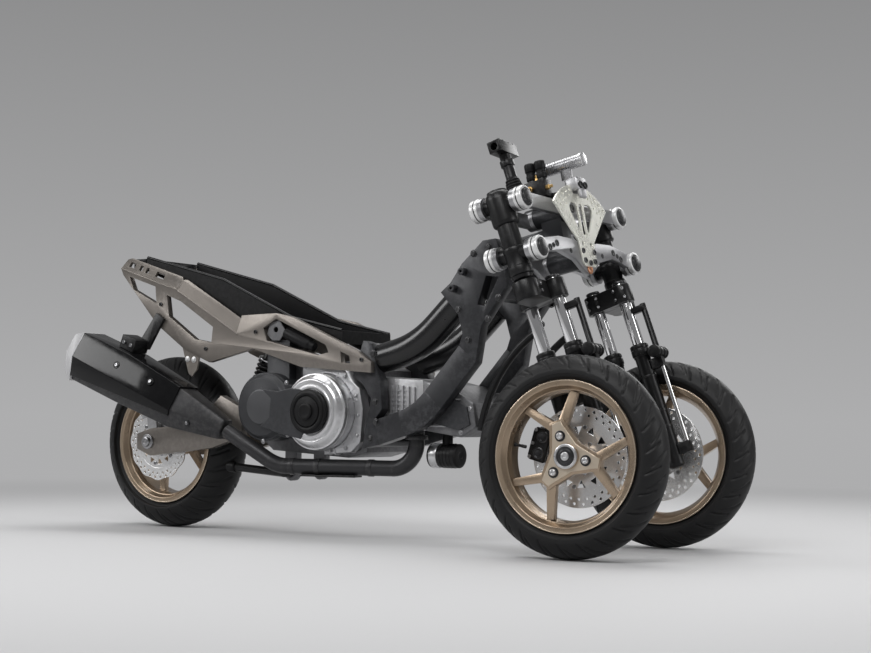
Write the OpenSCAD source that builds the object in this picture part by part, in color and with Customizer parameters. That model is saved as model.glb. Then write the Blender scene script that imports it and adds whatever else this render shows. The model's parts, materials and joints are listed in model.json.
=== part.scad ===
// Reverse trike chassis: two steered front wheels on a leaning linkage, one driven rear wheel.
// Millimetres, X forward, Y left, Z up, ground at Z 0. Stations along X count from the front axle.

/* [Layout] */
// Front axle to rear axle
wheelbase = 1700; // [1500:10:1900]
// Between the centres of the front tyres
track = 550; // [500:5:620]
// Front axle to the middle of the whole length
axle_to_middle = 856.6; // [750:0.1:950]
// Lean of the steering axes from upright
rake_deg = 20; // [14:1:26]
// Steering axis ahead of the front axle, at axle height
axis_lead = 18; // [10:1:30]
// Angle of the front wheels as parked, to the left
steer_rest = 5.8; // [0:0.1:8]

/* [Fits] */
// Gap where one piece seats on another
seat = 0.2; // [0.1:0.05:0.4]
// Radial clearance of a turning shaft
running = 0.05; // [0.02:0.01:0.1]
// Free space between moving pieces
sweep = 8; // [5:0.5:12]

/* [Tyres] */
// Outer diameter of a front tyre
front_tyre_od = 549; // [520:1:570]
// Width of a front tyre
front_tyre_w = 120; // [100:1:130]
// Outer diameter of the rear tyre
rear_tyre_od = 573; // [540:1:600]
// Width of the rear tyre
rear_tyre_w = 160; // [140:1:180]

/* [Rims] */
// Bead seat diameter of all rims
rim_seat_od = 381; // [356:1:406]
// Height of a rim flange above the bead seat
rim_flange_h = 14; // [10:0.5:18]
// Thickness of a rim flange
rim_flange_t = 7; // [5:0.5:9]
// Outside width of a front rim
front_rim_w = 104; // [90:1:112]
// Outside width of the rear rim
rear_rim_w = 132; // [115:1:145]
// Depth of the well between the bead seats
rim_well = 12; // [8:1:16]
// Wall of the rim barrel
rim_wall = 7; // [5:0.5:10]
// Radius of a hub
hub_r = 36; // [30:1:42]
// Radius where an arm splits into two spokes
split_r = 98; // [80:1:115]
// Half angle between the two spokes at the rim
split_deg = 25; // [18:1:30]
// Width of a hub arm
arm_w = 40; // [30:1:50]
// Width of a spoke
spoke_w = 20; // [14:1:26]
// Thickness of arms and spokes
spoke_t = 24; // [16:1:30]

/* [Brake discs] */
// Outer diameter of a front disc
front_disc_od = 276; // [250:1:290]
// Outer diameter of the rear disc
rear_disc_od = 260; // [230:1:280]
// Width of a disc's swept ring
disc_ring = 42; // [34:1:48]
// Thickness of a disc
disc_t = 5; // [4:0.5:6]

/* [Forks] */
// Leg centre inboard of the wheel's middle plane
leg_in = 97; // [92:1:110]
// Half distance between the two legs of a fork
leg_half = 44; // [40:1:50]
// Radius of a stanchion
stanchion_r = 18; // [15:0.5:20]
// Radius of a slider
slider_r = 25; // [22:0.5:27]
// Slider top above the axle, along the fork
slider_top = 316; // [290:1:330]
// Crown bottom above the axle, along the fork
crown_bottom = 452; // [440:1:470]
// Height of the crown
crown_h = 54; // [40:1:60]
// Radius of a front axle
axle_r = 12; // [10:0.5:15]

/* [Leaning linkage] */
// Height of the upper pivots
upper_pivot_z = 969; // [950:1:985]
// Height of the lower pivots
lower_pivot_z = 828; // [815:1:840]
// Rise of the pivot axes to the front
link_pitch = 12; // [8:1:16]
// Arm plates before and behind the steering axis
arm_reach = 66; // [60:1:75]
// Radius of an arm's end boss
arm_boss_r = 32; // [28:1:34]
// Length of an arm's end boss
arm_boss_l = 40; // [30:1:46]
// Radius of a pivot pin
pin_r = 13; // [10:1:16]
// Radius of a steering head tube
head_tube_r = 29; // [26:0.5:30]
// Radius of the lock disc
lock_disc_r = 212; // [190:1:225]
// Half angle of the lock disc
lock_disc_deg = 46; // [38:1:52]

/* [Steering stem] */
// Station of the stem at its lower bearing
stem_x = -349; // [-365:1:-335]
// Height of the lower bearing of the stem
stem_z = 1032; // [1024:1:1040]
// Length of the stem above the bearing
stem_l = 148; // [130:1:170]
// Radius of the stem
stem_r = 17; // [14:1:20]
// Radius of the handlebar bore
bar_r = 11.1; // [10:0.1:14]
// Length of the handlebar clamp
clamp_l = 120; // [90:1:150]

/* [Tail] */
// Station of the rack plate's middle
rack_x = -1768; // [-1775:1:-1760]
// Height of the rack plate's top
rack_z = 900; // [890:1:905]
// Rack holes apart along the machine
rack_dx = 40; // [30:1:50]
// Rack holes apart across the machine
rack_dy = 160; // [120:5:220]
// Radius of a rack hole
rack_hole_r = 4.3; // [3.2:0.1:5.3]

/* [Frame] */
// Outer side of the frame plates
frame_y = 150; // [135:1:165]
// Thickness of a frame plate
plate_t = 38; // [28:1:44]
// Radius of a threaded bodywork hole
fairing_r = 4; // [3:0.5:5]
// Radius of a main tube
spine_r = 45; // [38:1:50]
// Depth of a lower beam
beam_h = 76; // [60:1:90]

/* [Engine] */
// Station of the clutch axis
clutch_x = -948; // [-980:1:-920]
// Height of the clutch axis
clutch_z = 390; // [370:1:410]
// Radius of the silver clutch cover
clutch_r = 117; // [105:1:125]
// Station of the drive cover axis
drive_x = -1150; // [-1180:1:-1130]
// Height of the drive cover axis
drive_z = 404; // [385:1:425]
// Radius of the drive cover
drive_r = 106; // [95:1:115]

/* [Exhaust] */
// Radius of the exhaust pipe
pipe_r = 24; // [20:1:28]
// Front end of the muffler, right of the centre plane
muffler_y = 204; // [195:1:220]
// Length of the muffler
muffler_l = 690; // [600:5:760]
// Rise of the muffler to the rear
muffler_deg = 21; // [15:1:26]
// Splay of the muffler to the right
muffler_splay = 3; // [0:0.5:6]

/* [Stand] */
// Station of the stand's hinge
stand_x = -1130; // [-1160:1:-1100]
// Height of the stand's hinge
stand_z = 196; // [185:1:215]
// Length of a stand leg
stand_l = 240; // [220:1:260]
// Radius of the stand's tubes
stand_r = 12; // [10:0.5:15]

/* [Hidden] */
$fn = 48;
front_axle_z = front_tyre_od / 2;
rear_axle_z = rear_tyre_od / 2;
half_track = track / 2;
right = -1;
left = 1;
flange_r = rim_seat_od / 2 + rim_flange_h;
rim_inner_r = rim_seat_od / 2 - rim_well - rim_wall;
// Spokes sit towards the outer face of the rim
spoke_out = 36;
spoke_drop = 5;
arm_angles = [110, 230, 350];
hub_web_r = 50;
web_deg = 67;
hub_in = 62;
// Inner face of a front disc, inboard of the wheel's middle plane
front_disc_in = 54;
rear_disc_in = 90;
disc_flange_r = 52;
axle_depth = 24;
crown_top = crown_bottom + crown_h;
head_bottom = crown_top + sweep;
// Top of the side head tubes, measured along the steering axis from axle height
head_top = (upper_pivot_z - front_axle_z) / cos(rake_deg) + 38;
spigot_r = 15;
bearing_h = 36;
lock_disc_t = 6;
// Main tube: height and heading at its rear end, then at its front end
spine_y = frame_y - spine_r;
spine_rear = [-757, 553];
spine_rear_deg = 14;
spine_front_deg = 43;
spine_bend = 320;
spine_lead = 60;
spine_tail = 96;

// How far a straight runs into a bend, and how much thicker the bend is
bend_lap = 2;
bend_over = 0.3;
// Lower beam: front end, heading and lengths
beam_front = [-424, 560];
beam_front_deg = 48;
beam_turn = 31.4;
beam_bend = 250;
beam_lead = 178;
beam_tail = 92;
beam_t = plate_t;
// Arm plates of the linkage
arm_t = 16;
boss_inner = arm_reach - arm_boss_l / 2 - seat;
pin_head_r = 22;
pin_head_t = 6;
pin_grip = 12;
// Along the steering axis, from axle height to the lower pivot
lower_up = (lower_pivot_z - front_axle_z) / cos(rake_deg);
// Spigot of a fork in its head tube, ending below the lower pivot
spigot_l = lower_up - arm_boss_r - crown_top - sweep;
// Right face of the crankcase, and how far each cover stands out from it
case_y = frame_y - plate_t - seat;
drive_cover_t = 84;
clutch_t = 104;
hub_cover_t = 120;
// Tail rails lie against the outside of the pivot plates
tail_t = 20;
tail_y = frame_y + seat + tail_t;
// Upper band of a tail rail leans inboard from the crease; each length has its station, height, heading, length
tail_lean = 34;
band_t = 12;
band_w = 48;
tail_bands = [[-1808, 869, -17.5, 270], [-1562, 792, -29.5, 318]];
// Half width of the tray between the leaning bands
tray_half = 126;
// Muffler: front end of its axis
muffler_front = [-1300, 330];
swing_y = 112;
swing_t = 28;

// Places the part so that its middle is over the origin
module placed() {
  translate([axle_to_middle, 0, 0]) children();
}

// Station of the side steering axes at a height
function axis_x(z) = axis_lead - (z - front_axle_z) * tan(rake_deg);

// Frame of one fork: Z up the steering axis, Y inboard
module fork_frame(side) {
  translate([axis_lead, side * half_track, front_axle_z])
    rotate([0, -rake_deg, 0])
      rotate([0, 0, steer_rest])
        mirror([0, side > 0 ? 1 : 0, 0])
          children();
}

// Same axis without the steering angle, for what stays on the linkage
module head_frame_side(side) {
  translate([axis_lead, side * half_track, front_axle_z])
    rotate([0, -rake_deg, 0])
      mirror([0, side > 0 ? 1 : 0, 0])
        children();
}

// Frame of one front wheel: Z along the axle, outboard
module front_wheel_frame(side) {
  fork_frame(side)
    rotate([0, rake_deg, 0])
      translate([-axis_lead, 0, 0])
        rotate([90, 0, 0])
          children();
}

// Frame of the rear wheel: Z to the right
module rear_wheel_frame() {
  translate([-wheelbase, 0, rear_axle_z]) rotate([90, 0, 0]) children();
}

// Frame of the linkage at a pivot height: X along the pivots, Y left
module link_frame(z) {
  translate([axis_x(z), 0, z]) rotate([0, -link_pitch, 0]) children();
}

// Both sides of the machine
module both() {
  children();
  mirror([0, 1, 0]) children();
}

// Round bar between two points
module bar(a, b, r) {
  v = b - a;
  translate(a)
    rotate([0, acos(v[2] / norm(v)), atan2(v[1], v[0])])
      cylinder(h = norm(v), r = r);
}

// Plate in the side view: points are station and height, y is its outer face on the right
module side_plate(y, t) {
  translate([0, -y + t, 0]) rotate([90, 0, 0]) linear_extrude(t) children();
}

// Outline across the machine, extruded forward: 2-D X is Y, 2-D Y is Z
module cross_plate(t) {
  rotate([90, 0, 90]) linear_extrude(t) children();
}

// Sweep along straights and bends in the XZ plane; legs hold length, turn and bend radius
// First child is the profile of the straights, second that of the bends, which lap over them
module run(legs, i = 0) {
  length = legs[i][0];
  turn = legs[i][1];
  radius = legs[i][2];
  before = i > 0 ? bend_lap : 0;
  after = turn != 0 ? bend_lap : 0;
  translate([-before, 0, 0]) rotate([90, 0, 90]) linear_extrude(before + length + after) children(0);
  if (turn != 0) {
    up = turn > 0 ? 1 : -1;
    translate([length, 0, 0]) {
      mirror([0, 0, up > 0 ? 0 : 1])
        translate([0, 0, radius])
          rotate([90, 90, 0])
            rotate_extrude(angle = abs(turn))
              translate([radius, 0]) rotate(90) children(1);
      translate([radius * sin(abs(turn)), 0, up * radius * (1 - cos(turn))])
        rotate([0, -turn, 0])
          run(legs, i + 1) {
            children(0);
            children(1);
          }
    }
  }
}

// Wheels

module tyre_section(od, w, rim_w) {
  bead = rim_w / 2 - rim_flange_t - seat;
  crown = w / 2 + 2;
  lift = flange_r + 2;
  intersection() {
    translate([od / 2 - crown, 0]) circle(r = crown);
    polygon([
      [rim_seat_od / 2 + seat, -bead], [lift, -bead], [lift + w / 2 - bead, -w / 2], [od, -w / 2],
      [od, w / 2], [lift + w / 2 - bead, w / 2], [lift, bead], [rim_seat_od / 2 + seat, bead]
    ]);
  }
}

module tyre(od, w, rim_w) {
  rotate_extrude($fn = 96) tyre_section(od, w, rim_w);
}

module rim_section(w) {
  seat_r = rim_seat_od / 2;
  well_r = seat_r - rim_well;
  lip = w / 2 - rim_flange_t;
  shelf = lip - 20;
  floor_w = shelf - rim_well;
  polygon([
    [flange_r, -w / 2], [flange_r, -lip], [seat_r, -lip], [seat_r, -shelf], [well_r, -floor_w],
    [well_r, floor_w], [seat_r, shelf], [seat_r, lip], [flange_r, lip], [flange_r, w / 2],
    [seat_r - 2, w / 2], [rim_inner_r, shelf - 6], [rim_inner_r, -shelf + 6], [seat_r - 2, -w / 2]
  ]);
}

// Three-armed hub plate; the webs between the arms meet at hub_web_r
module hub_plate() {
  for (arm = arm_angles) rotate(arm)
    polygon([[0, 0], hub_web_r * [cos(web_deg), -sin(web_deg)], [split_r - 12, -arm_w / 2 - 4], [split_r + 2, -arm_w / 2],
      [split_r + 2, arm_w / 2], [split_r - 12, arm_w / 2 + 4], hub_web_r * [cos(web_deg), sin(web_deg)]]);
}

// Two tapering spokes from the end of each arm to the rim, set back from the hub's face
module spokes(face) {
  end_r = rim_inner_r + 3;
  translate([0, 0, face - spoke_t + 1]) linear_extrude(spoke_t - spoke_drop) for (arm = arm_angles, s = [-1, 1]) rotate(arm) {
    tip = end_r * [cos(s * split_deg), sin(s * split_deg)];
    root = [split_r - 16, s * (arm_w - spoke_w) / 2];
    along = (tip - root) / norm(tip - root);
    across = [-along[1], along[0]];
    polygon([root - across * (spoke_w / 2 + 4), tip - across * spoke_w / 2,
      tip + across * spoke_w / 2, root + across * (spoke_w / 2 + 4)]);
  }
}

// Rim with hub; reach is how far the hub goes inboard, depth how deep the axle enters past the middle
module rim(w, reach, out) {
  rotate_extrude($fn = 96) rim_section(w);
  spokes(out);
  difference() {
    union() {
      translate([0, 0, out - spoke_t]) linear_extrude(spoke_t) hub_plate();
      translate([0, 0, -reach]) cylinder(h = reach + out + 6, r = hub_r);
    }
    translate([0, 0, -reach - 1]) cylinder(h = reach + 1 + axle_depth, r = axle_r + running);
  }
}

// Brake disc seated on the hub's inner shoulder
module brake_disc(od, shift) {
  inner = od / 2 - disc_ring;
  translate([0, 0, -shift]) linear_extrude(disc_t) {
    difference() {
      circle(d = od, $fn = 96);
      circle(r = inner, $fn = 72);
    }
    difference() {
      circle(r = disc_flange_r);
      circle(r = hub_r + seat);
    }
    for (a = [0 : 60 : 300]) rotate(a + 20)
      translate([disc_flange_r - 5, -9]) square([inner - disc_flange_r + 8, 18]);
  }
}

module tyre_front_right() {
  color([0.08, 0.08, 0.08]) placed() front_wheel_frame(right) tyre(front_tyre_od, front_tyre_w, front_rim_w);
}

module tyre_front_left() {
  color([0.08, 0.08, 0.08]) placed() front_wheel_frame(left) tyre(front_tyre_od, front_tyre_w, front_rim_w);
}

module tyre_rear() {
  color([0.08, 0.08, 0.08]) placed() rear_wheel_frame() tyre(rear_tyre_od, rear_tyre_w, rear_rim_w);
}

module rim_front_right() {
  color([0.62, 0.5, 0.38]) placed() front_wheel_frame(right) rim(front_rim_w, hub_in, spoke_out);
}

module rim_front_left() {
  color([0.62, 0.5, 0.38]) placed() front_wheel_frame(left) rim(front_rim_w, hub_in, spoke_out);
}

// Rear hub is open on both sides, its axle runs right through
module rim_rear() {
  reach = rear_disc_in + 6;
  color([0.62, 0.5, 0.38]) placed() rear_wheel_frame() {
    rotate_extrude($fn = 96) rim_section(rear_rim_w);
    spokes(spoke_t);
    difference() {
      union() {
        linear_extrude(spoke_t) hub_plate();
        translate([0, 0, -reach]) cylinder(h = 2 * reach, r = hub_r);
      }
      translate([0, 0, -reach - 1]) cylinder(h = 2 * reach + 2, r = axle_r + running);
    }
  }
}

module disc_front_right() {
  color([0.75, 0.75, 0.75]) placed() front_wheel_frame(right) brake_disc(front_disc_od, front_disc_in);
}

module disc_front_left() {
  color([0.75, 0.75, 0.75]) placed() front_wheel_frame(left) brake_disc(front_disc_od, front_disc_in);
}

module disc_rear() {
  color([0.75, 0.75, 0.75]) placed() rear_wheel_frame()
    translate([0, 0, rear_disc_in - disc_t]) brake_disc(rear_disc_od, 0);
}

// Forks

// Crown across both legs with its column on the steering axis
module crown() {
  web = 2 * leg_half;
  difference() {
    union() {
      translate([0, 0, crown_bottom]) linear_extrude(crown_h) {
        for (x = [-leg_half, leg_half]) translate([x, leg_in]) circle(r = slider_r + 5);
        translate([-leg_half, leg_in - 24]) square([web, 48]);
        translate([-34, 0]) square([68, leg_in]);
        circle(r = 36);
      }
      translate([0, 0, crown_top - 1]) cylinder(h = spigot_l + 1, r = spigot_r);
    }
    for (x = [-leg_half, leg_half]) translate([x, leg_in, crown_bottom - 1])
      cylinder(h = crown_h + 2, r = stanchion_r + seat);
  }
}

// Two stanchions from the sliders up through the crown
module stanchions() {
  for (x = [-leg_half, leg_half]) translate([x, leg_in, slider_top + seat])
    cylinder(h = crown_top + 6 - slider_top, r = stanchion_r);
}

// Sliders with their collars, the bridge and the axle stub
module sliders() {
  foot = -46;
  collar = 34;
  for (x = [-leg_half, leg_half]) translate([x, leg_in, 0]) {
    translate([0, 0, foot]) cylinder(h = slider_top - foot - collar, r = slider_r - 2);
    translate([0, 0, slider_top - collar - 1]) cylinder(h = collar + 1, r = slider_r);
  }
  for (z = [foot + 12, 150]) translate([-leg_half, leg_in - 16, z]) cube([2 * leg_half, 32, 56]);
  rotate([0, rake_deg, 0]) translate([-axis_lead, 0, 0]) rotate([90, 0, 0])
    translate([0, 0, -leg_in]) cylinder(h = leg_in + axle_depth - 2, r = axle_r);
}

// Caliper behind the rear leg, open over the disc, with its bracket against the slider
module front_caliper() {
  half_l = 52;
  depth = 56;
  reach = front_disc_od / 2 + 8;
  slot = disc_t + 3;
  middle = front_disc_in - disc_t / 2;
  flank = leg_in - slider_r + 2 - seat;
  rotate([0, rake_deg, 0]) translate([-axis_lead, 0, 0]) rotate([90, 0, 0])
    rotate([0, 0, 165])
      difference() {
        union() {
          translate([reach - depth, -half_l, -middle - 20]) cube([depth, 2 * half_l, 40]);
          translate([hub_r + 6, -18, -flank]) cube([reach - hub_r - 20, 36, 10]);
        }
        translate([0, 0, -middle - slot / 2]) cylinder(h = slot, r = front_disc_od / 2 + 3);
      }
}

// Lock unit in front of the front leg: clamp, cross cylinder, rod down to the foot and sheath up to the crown
module fork_lock() {
  ahead = leg_half + slider_r + 26;
  base = leg_half + slider_r - 2 + seat;
  for (z = [-24, 236]) translate([base, leg_in - 13, z]) cube([ahead - base + 8, 26, 30]);
  translate([ahead, leg_in - 40, 280]) rotate([-90, 0, 0]) cylinder(h = 80, r = 17);
  translate([ahead, leg_in, 0]) cylinder(h = 270, r = 6);
  translate([ahead, leg_in, 290]) cylinder(h = crown_bottom - 310, r = 9);
}

module fork_lock_right() {
  color([0.08, 0.08, 0.08]) placed() fork_frame(right) fork_lock();
}

module fork_lock_left() {
  color([0.08, 0.08, 0.08]) placed() fork_frame(left) fork_lock();
}

module fork_crown_right() {
  color([0.1, 0.1, 0.1]) placed() fork_frame(right) crown();
}

module fork_crown_left() {
  color([0.1, 0.1, 0.1]) placed() fork_frame(left) crown();
}

module fork_tubes_right() {
  color([0.85, 0.85, 0.85]) placed() fork_frame(right) stanchions();
}

module fork_tubes_left() {
  color([0.85, 0.85, 0.85]) placed() fork_frame(left) stanchions();
}

module fork_lower_right() {
  color([0.12, 0.12, 0.12]) placed() fork_frame(right) sliders();
}

module fork_lower_left() {
  color([0.12, 0.12, 0.12]) placed() fork_frame(left) sliders();
}

module caliper_front_right() {
  color([0.15, 0.15, 0.15]) placed() fork_frame(right) front_caliper();
}

module caliper_front_left() {
  color([0.15, 0.15, 0.15]) placed() fork_frame(left) front_caliper();
}

// Leaning linkage

// How far a boss stands out from the middle of its plate
function boss_out(y) = y == 0 ? arm_t / 2 : arm_boss_l / 2;

// Half outline of an upper arm and of a lower arm: Y out from the middle, Z up
module upper_arm_half() {
  polygon([[0, -26], [70, -24], [half_track, -20], [half_track, 22], [90, 16], [0, 12]]);
}

module lower_arm_half() {
  polygon([[0, -56], [24, -46], [70, -14], [150, 4], [205, -2], [half_track, -22], [half_track, 26],
    [150, 46], [70, 44], [0, 26]]);
}

// One pair of arm plates with end bosses; the middle bosses end flush with the plates
module arm_pair() {
  for (end = [-1, 1]) translate([end * arm_reach, 0, 0]) difference() {
    union() {
      translate([-arm_t / 2, 0, 0]) cross_plate(arm_t) {
        children();
        mirror([1, 0]) children();
      }
      for (y = [-half_track, 0, half_track]) translate([0, y, 0])
        mirror([end > 0 ? 0 : 1, 0, 0]) translate([-arm_boss_l / 2, 0, 0])
          rotate([0, 90, 0]) cylinder(h = arm_boss_l / 2 + boss_out(y), r = arm_boss_r);
    }
    for (y = [-half_track, 0, half_track]) translate([-arm_boss_l, y, 0])
      rotate([0, 90, 0]) cylinder(h = 2 * arm_boss_l, r = pin_r + seat);
  }
}

module upper_arms() {
  color([0.6, 0.6, 0.62]) placed() link_frame(upper_pivot_z) arm_pair() upper_arm_half();
}

module lower_arms() {
  color([0.6, 0.6, 0.62]) placed() link_frame(lower_pivot_z) arm_pair() lower_arm_half();
}

// Pins in the arm bosses, reaching into the head tubes and the nose; the outer ones have heads
module pivot_pins() {
  foot = boss_inner - pin_grip + seat;
  color([0.13, 0.13, 0.14]) placed() for (z = [upper_pivot_z, lower_pivot_z]) link_frame(z)
    for (end = [0, 1], y = [-half_track, 0, half_track])
      mirror([end, 0, 0]) translate([foot, y, 0]) rotate([0, 90, 0]) {
        grip = arm_reach + boss_out(y) - foot;
        cylinder(h = grip, r = pin_r);
        if (y != 0) translate([0, 0, grip - 1]) cylinder(h = 1 + seat, r = pin_r);
        if (y != 0) translate([0, 0, grip + seat]) cylinder(h = pin_head_t, r = pin_head_r);
      }
}

// Cross boss between two arm plates, drilled at both ends for its pins
module cross_boss(r) {
  translate([-boss_inner, 0, 0]) rotate([0, 90, 0]) difference() {
    cylinder(h = 2 * boss_inner, r = r);
    for (end = [-1, 2 * boss_inner - pin_grip]) translate([0, 0, end]) cylinder(h = pin_grip + 1, r = pin_r + seat);
  }
}

// Side head tubes that carry the forks
module side_heads() {
  color([0.14, 0.14, 0.15]) placed() for (side = [right, left]) {
    head_frame_side(side) translate([0, 0, head_bottom]) difference() {
      cylinder(h = head_top - head_bottom, r = head_tube_r);
      translate([0, 0, -1]) cylinder(h = spigot_l + 2, r = spigot_r + running);
    }
    for (z = [upper_pivot_z, lower_pivot_z])
      link_frame(z) translate([0, side * half_track, 0]) cross_boss(head_tube_r - 7);
  }
}

// Fan-shaped disc of the lean lock, on the front face of the lower arms
module lock_disc() {
  waist = 40;
  foot = 34;
  slots = [[-24, 16], [0, 18], [24, 16]];
  color([0.8, 0.78, 0.72]) placed() link_frame(lower_pivot_z)
    translate([arm_reach + arm_t / 2 + seat, 0, 0]) cross_plate(lock_disc_t) difference() {
      intersection() {
        circle(r = lock_disc_r, $fn = 96);
        polygon([[-waist, -foot], [waist, -foot], [waist + 4, 26],
          lock_disc_r * 1.1 * [sin(lock_disc_deg), cos(lock_disc_deg)], [60, lock_disc_r * 1.2],
          [-60, lock_disc_r * 1.2], lock_disc_r * 1.1 * [-sin(lock_disc_deg), cos(lock_disc_deg)],
          [-waist - 4, 26]]);
      }
      for (s = slots) rotate(-s[0]) translate([-s[1] / 2, 66]) square([s[1], 82]);
      translate([-34, lock_disc_r - 30]) square([68, 40]);
    }
}

// Caliper over the notch of the lock disc, with its bracket to the nose
module lock_caliper() {
  face = arm_reach + arm_t / 2 + seat + lock_disc_t / 2;
  slot = lock_disc_t + 4;
  color([0.25, 0.25, 0.26]) placed() link_frame(lower_pivot_z) difference() {
    union() {
      translate([face - 20, -30, lock_disc_r - 52]) cube([42, 60, 74]);
      translate([-20, -16, lock_disc_r - 8 + seat]) cube([face, 32, 28]);
    }
    translate([face - slot / 2, -40, lock_disc_r - 60]) cube([slot, 80, 64]);
  }
}

// Frame

// Nose casting: a column between the arm plates, a web back to the side plates, and on top
// a bridge over the rear arm to the stem's bearing
module nose() {
  rise = upper_pivot_z - lower_pivot_z;
  inner = frame_y - plate_t;
  column_top = lock_disc_r - 8;
  for (z = [upper_pivot_z, lower_pivot_z]) link_frame(z) cross_boss(arm_boss_r);
  difference() {
    union() {
      link_frame(lower_pivot_z) translate([-boss_inner + 2, -24, 16]) cube([64, 48, column_top - 16]);
      link_frame(lower_pivot_z) translate([-150, -24, 42]) cube([120, 48, rise - 78]);
      translate([-400, -inner - 1, 720]) cube([76, 2 * inner + 2, 172]);
      translate([stem_x, -22, stem_z - 34]) cube([98, 44, 26]);
      stem_frame() translate([0, 0, -bearing_h]) cylinder(h = bearing_h, r = stem_r + 15);
    }
    stem_frame() translate([0, 0, -bearing_h + 4]) cylinder(h = bearing_h, r = stem_r + running);
    for (z = [upper_pivot_z, lower_pivot_z]) link_frame(z) cross_boss_room();
  }
}

// Drilled ends of a cross boss, kept open where other metal joins it
module cross_boss_room() {
  for (end = [0, 1]) mirror([end, 0, 0]) translate([boss_inner - pin_grip, 0, 0])
    rotate([0, 90, 0]) cylinder(h = pin_grip + 1, r = pin_r + seat);
}

// Frame of the steering stem: Z up the stem from its bearing
module stem_frame() {
  translate([stem_x, 0, stem_z]) rotate([0, -rake_deg, 0]) children();
}

// End of the main tube on its plate: the two corners of the seat line, up then down
function seat_line(p, deg, r, off) = [
  p + off * [cos(deg), sin(deg)] + r * [-sin(deg), cos(deg)],
  p + off * [cos(deg), sin(deg)] - r * [-sin(deg), cos(deg)]
];
spine_mid = spine_rear + spine_lead * [cos(spine_rear_deg), sin(spine_rear_deg)];
spine_end = spine_mid
  + spine_bend * [sin(spine_front_deg) - sin(spine_rear_deg), cos(spine_rear_deg) - cos(spine_front_deg)]
  + spine_tail * [cos(spine_front_deg), sin(spine_front_deg)];
spine_seat = seat_line(spine_end, spine_front_deg, spine_r, seat);
spine_foot = seat_line(spine_rear, spine_rear_deg, spine_r, -seat);
beam_seat = seat_line(beam_front, beam_front_deg, beam_h / 2, seat);

module front_plate_outline() {
  difference() {
    polygon([[-330, 892], [-373, 888], [-445, 824], [-484, 770], spine_seat[0], spine_seat[1], [-440, 620],
      beam_seat[0], beam_seat[1], [-376, 642], [-338, 692], [-290, 755], [-300, 830]]);
    polygon([[-361, 786], [-318, 780], [-362, 698], [-390, 703]]);
  }
}

module head_frame() {
  color([0.22, 0.22, 0.24]) placed() {
    nose();
    both() side_plate(frame_y, plate_t) front_plate_outline();
  }
}

// Threaded bosses for bodywork on the front plates: station and height
fairing_holes = [[-436, 800], [-470, 752]];
fairing_depth = 16;
boss_floor = 4;
boss_wall = 7;

module bodywork_bosses() {
  color([0.22, 0.22, 0.24]) placed() both() for (p = fairing_holes)
    translate([p[0], -frame_y - seat, p[1]]) rotate([90, 0, 0]) difference() {
      cylinder(h = boss_floor + fairing_depth, r = fairing_r + boss_wall);
      translate([0, 0, boss_floor]) cylinder(h = fairing_depth + 1, r = fairing_r);
    }
}

module main_tubes() {
  color([0.05, 0.05, 0.06]) placed() both() translate([spine_rear[0], -spine_y, spine_rear[1]])
    rotate([0, -spine_rear_deg, 0])
      run([[spine_lead, spine_front_deg - spine_rear_deg, spine_bend], [spine_tail, 0, 0]]) {
        circle(r = spine_r);
        circle(r = spine_r + bend_over);
      }
}

module lower_beams() {
  color([0.22, 0.22, 0.24]) placed() both() translate([beam_front[0], -frame_y + beam_t / 2, beam_front[1]])
    rotate([0, 180 - beam_front_deg, 0])
      run([[beam_lead, -beam_turn, beam_bend], [beam_tail, 0, 0]]) {
        square([beam_t, beam_h], center = true);
        square([beam_t + bend_over, beam_h + bend_over], center = true);
      }
}

// Rear end of a lower beam
beam_knee = beam_front - beam_lead * [cos(beam_front_deg), sin(beam_front_deg)];
beam_rear_deg = beam_front_deg - beam_turn;
beam_rear = beam_knee
  - beam_bend * [sin(beam_front_deg) - sin(beam_rear_deg), cos(beam_rear_deg) - cos(beam_front_deg)]
  - beam_tail * [cos(beam_rear_deg), sin(beam_rear_deg)];
beam_foot = seat_line(beam_rear, beam_rear_deg, beam_h / 2, -seat);

module pivot_plates() {
  color([0.22, 0.22, 0.24]) placed() {
    both() side_plate(frame_y, plate_t)
      polygon([[-800, 606], spine_foot[0], spine_foot[1], [-736, 488], [-728, 400], beam_foot[0], beam_foot[1],
        [-800, 280], [-784, 368], [-768, 430], [-800, 474], [-838, 499]]);
    for (z = [300, 585]) translate([-790, -frame_y + plate_t - 1, z]) rotate([-90, 0, 0])
      cylinder(h = 2 * (frame_y - plate_t) + 2, r = 16);
  }
}

// Tail

module tail_outline() {
  difference() {
    polygon([[-1811, 870], [-1562, 793], [-1290, 640], [-1270, 694], [-1130, 697], [-1065, 684], [-815, 577],
      [-756, 540], [-756, 508], [-1027, 528], [-1222, 588], [-1405, 546], [-1512, 588], [-1640, 674], [-1800, 845]]);
    polygon([[-1770, 838], [-1650, 800], [-1644, 744], [-1750, 794]]);
    polygon([[-1598, 770], [-1536, 748], [-1392, 660], [-1398, 610], [-1468, 622], [-1586, 700]]);
    polygon([[-1180, 652], [-1128, 680], [-930, 595], [-918, 572], [-957, 563], [-1165, 612]]);
    polygon([[-872, 574], [-838, 560], [-834, 536], [-868, 540]]);
  }
}

// Leaning band of a tail rail in its own plane, with a row of slots: start and width of each
module tail_band(b, slots) {
  translate([b[0], -tail_y, b[1]]) rotate([0, -b[2], 0]) rotate([-tail_lean, 0, 0])
    translate([0, band_t, 0]) rotate([90, 0, 0]) linear_extrude(band_t) difference() {
      polygon([[0, -4], [b[3], -4], [b[3], band_w - 14], [b[3] - 16, band_w], [14, band_w], [0, band_w - 10]]);
      for (c = slots) translate([c[0], 14]) polygon([[0, 0], [c[1], 0], [c[1] - 5, 20], [-5, 20]]);
    }
}

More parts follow.
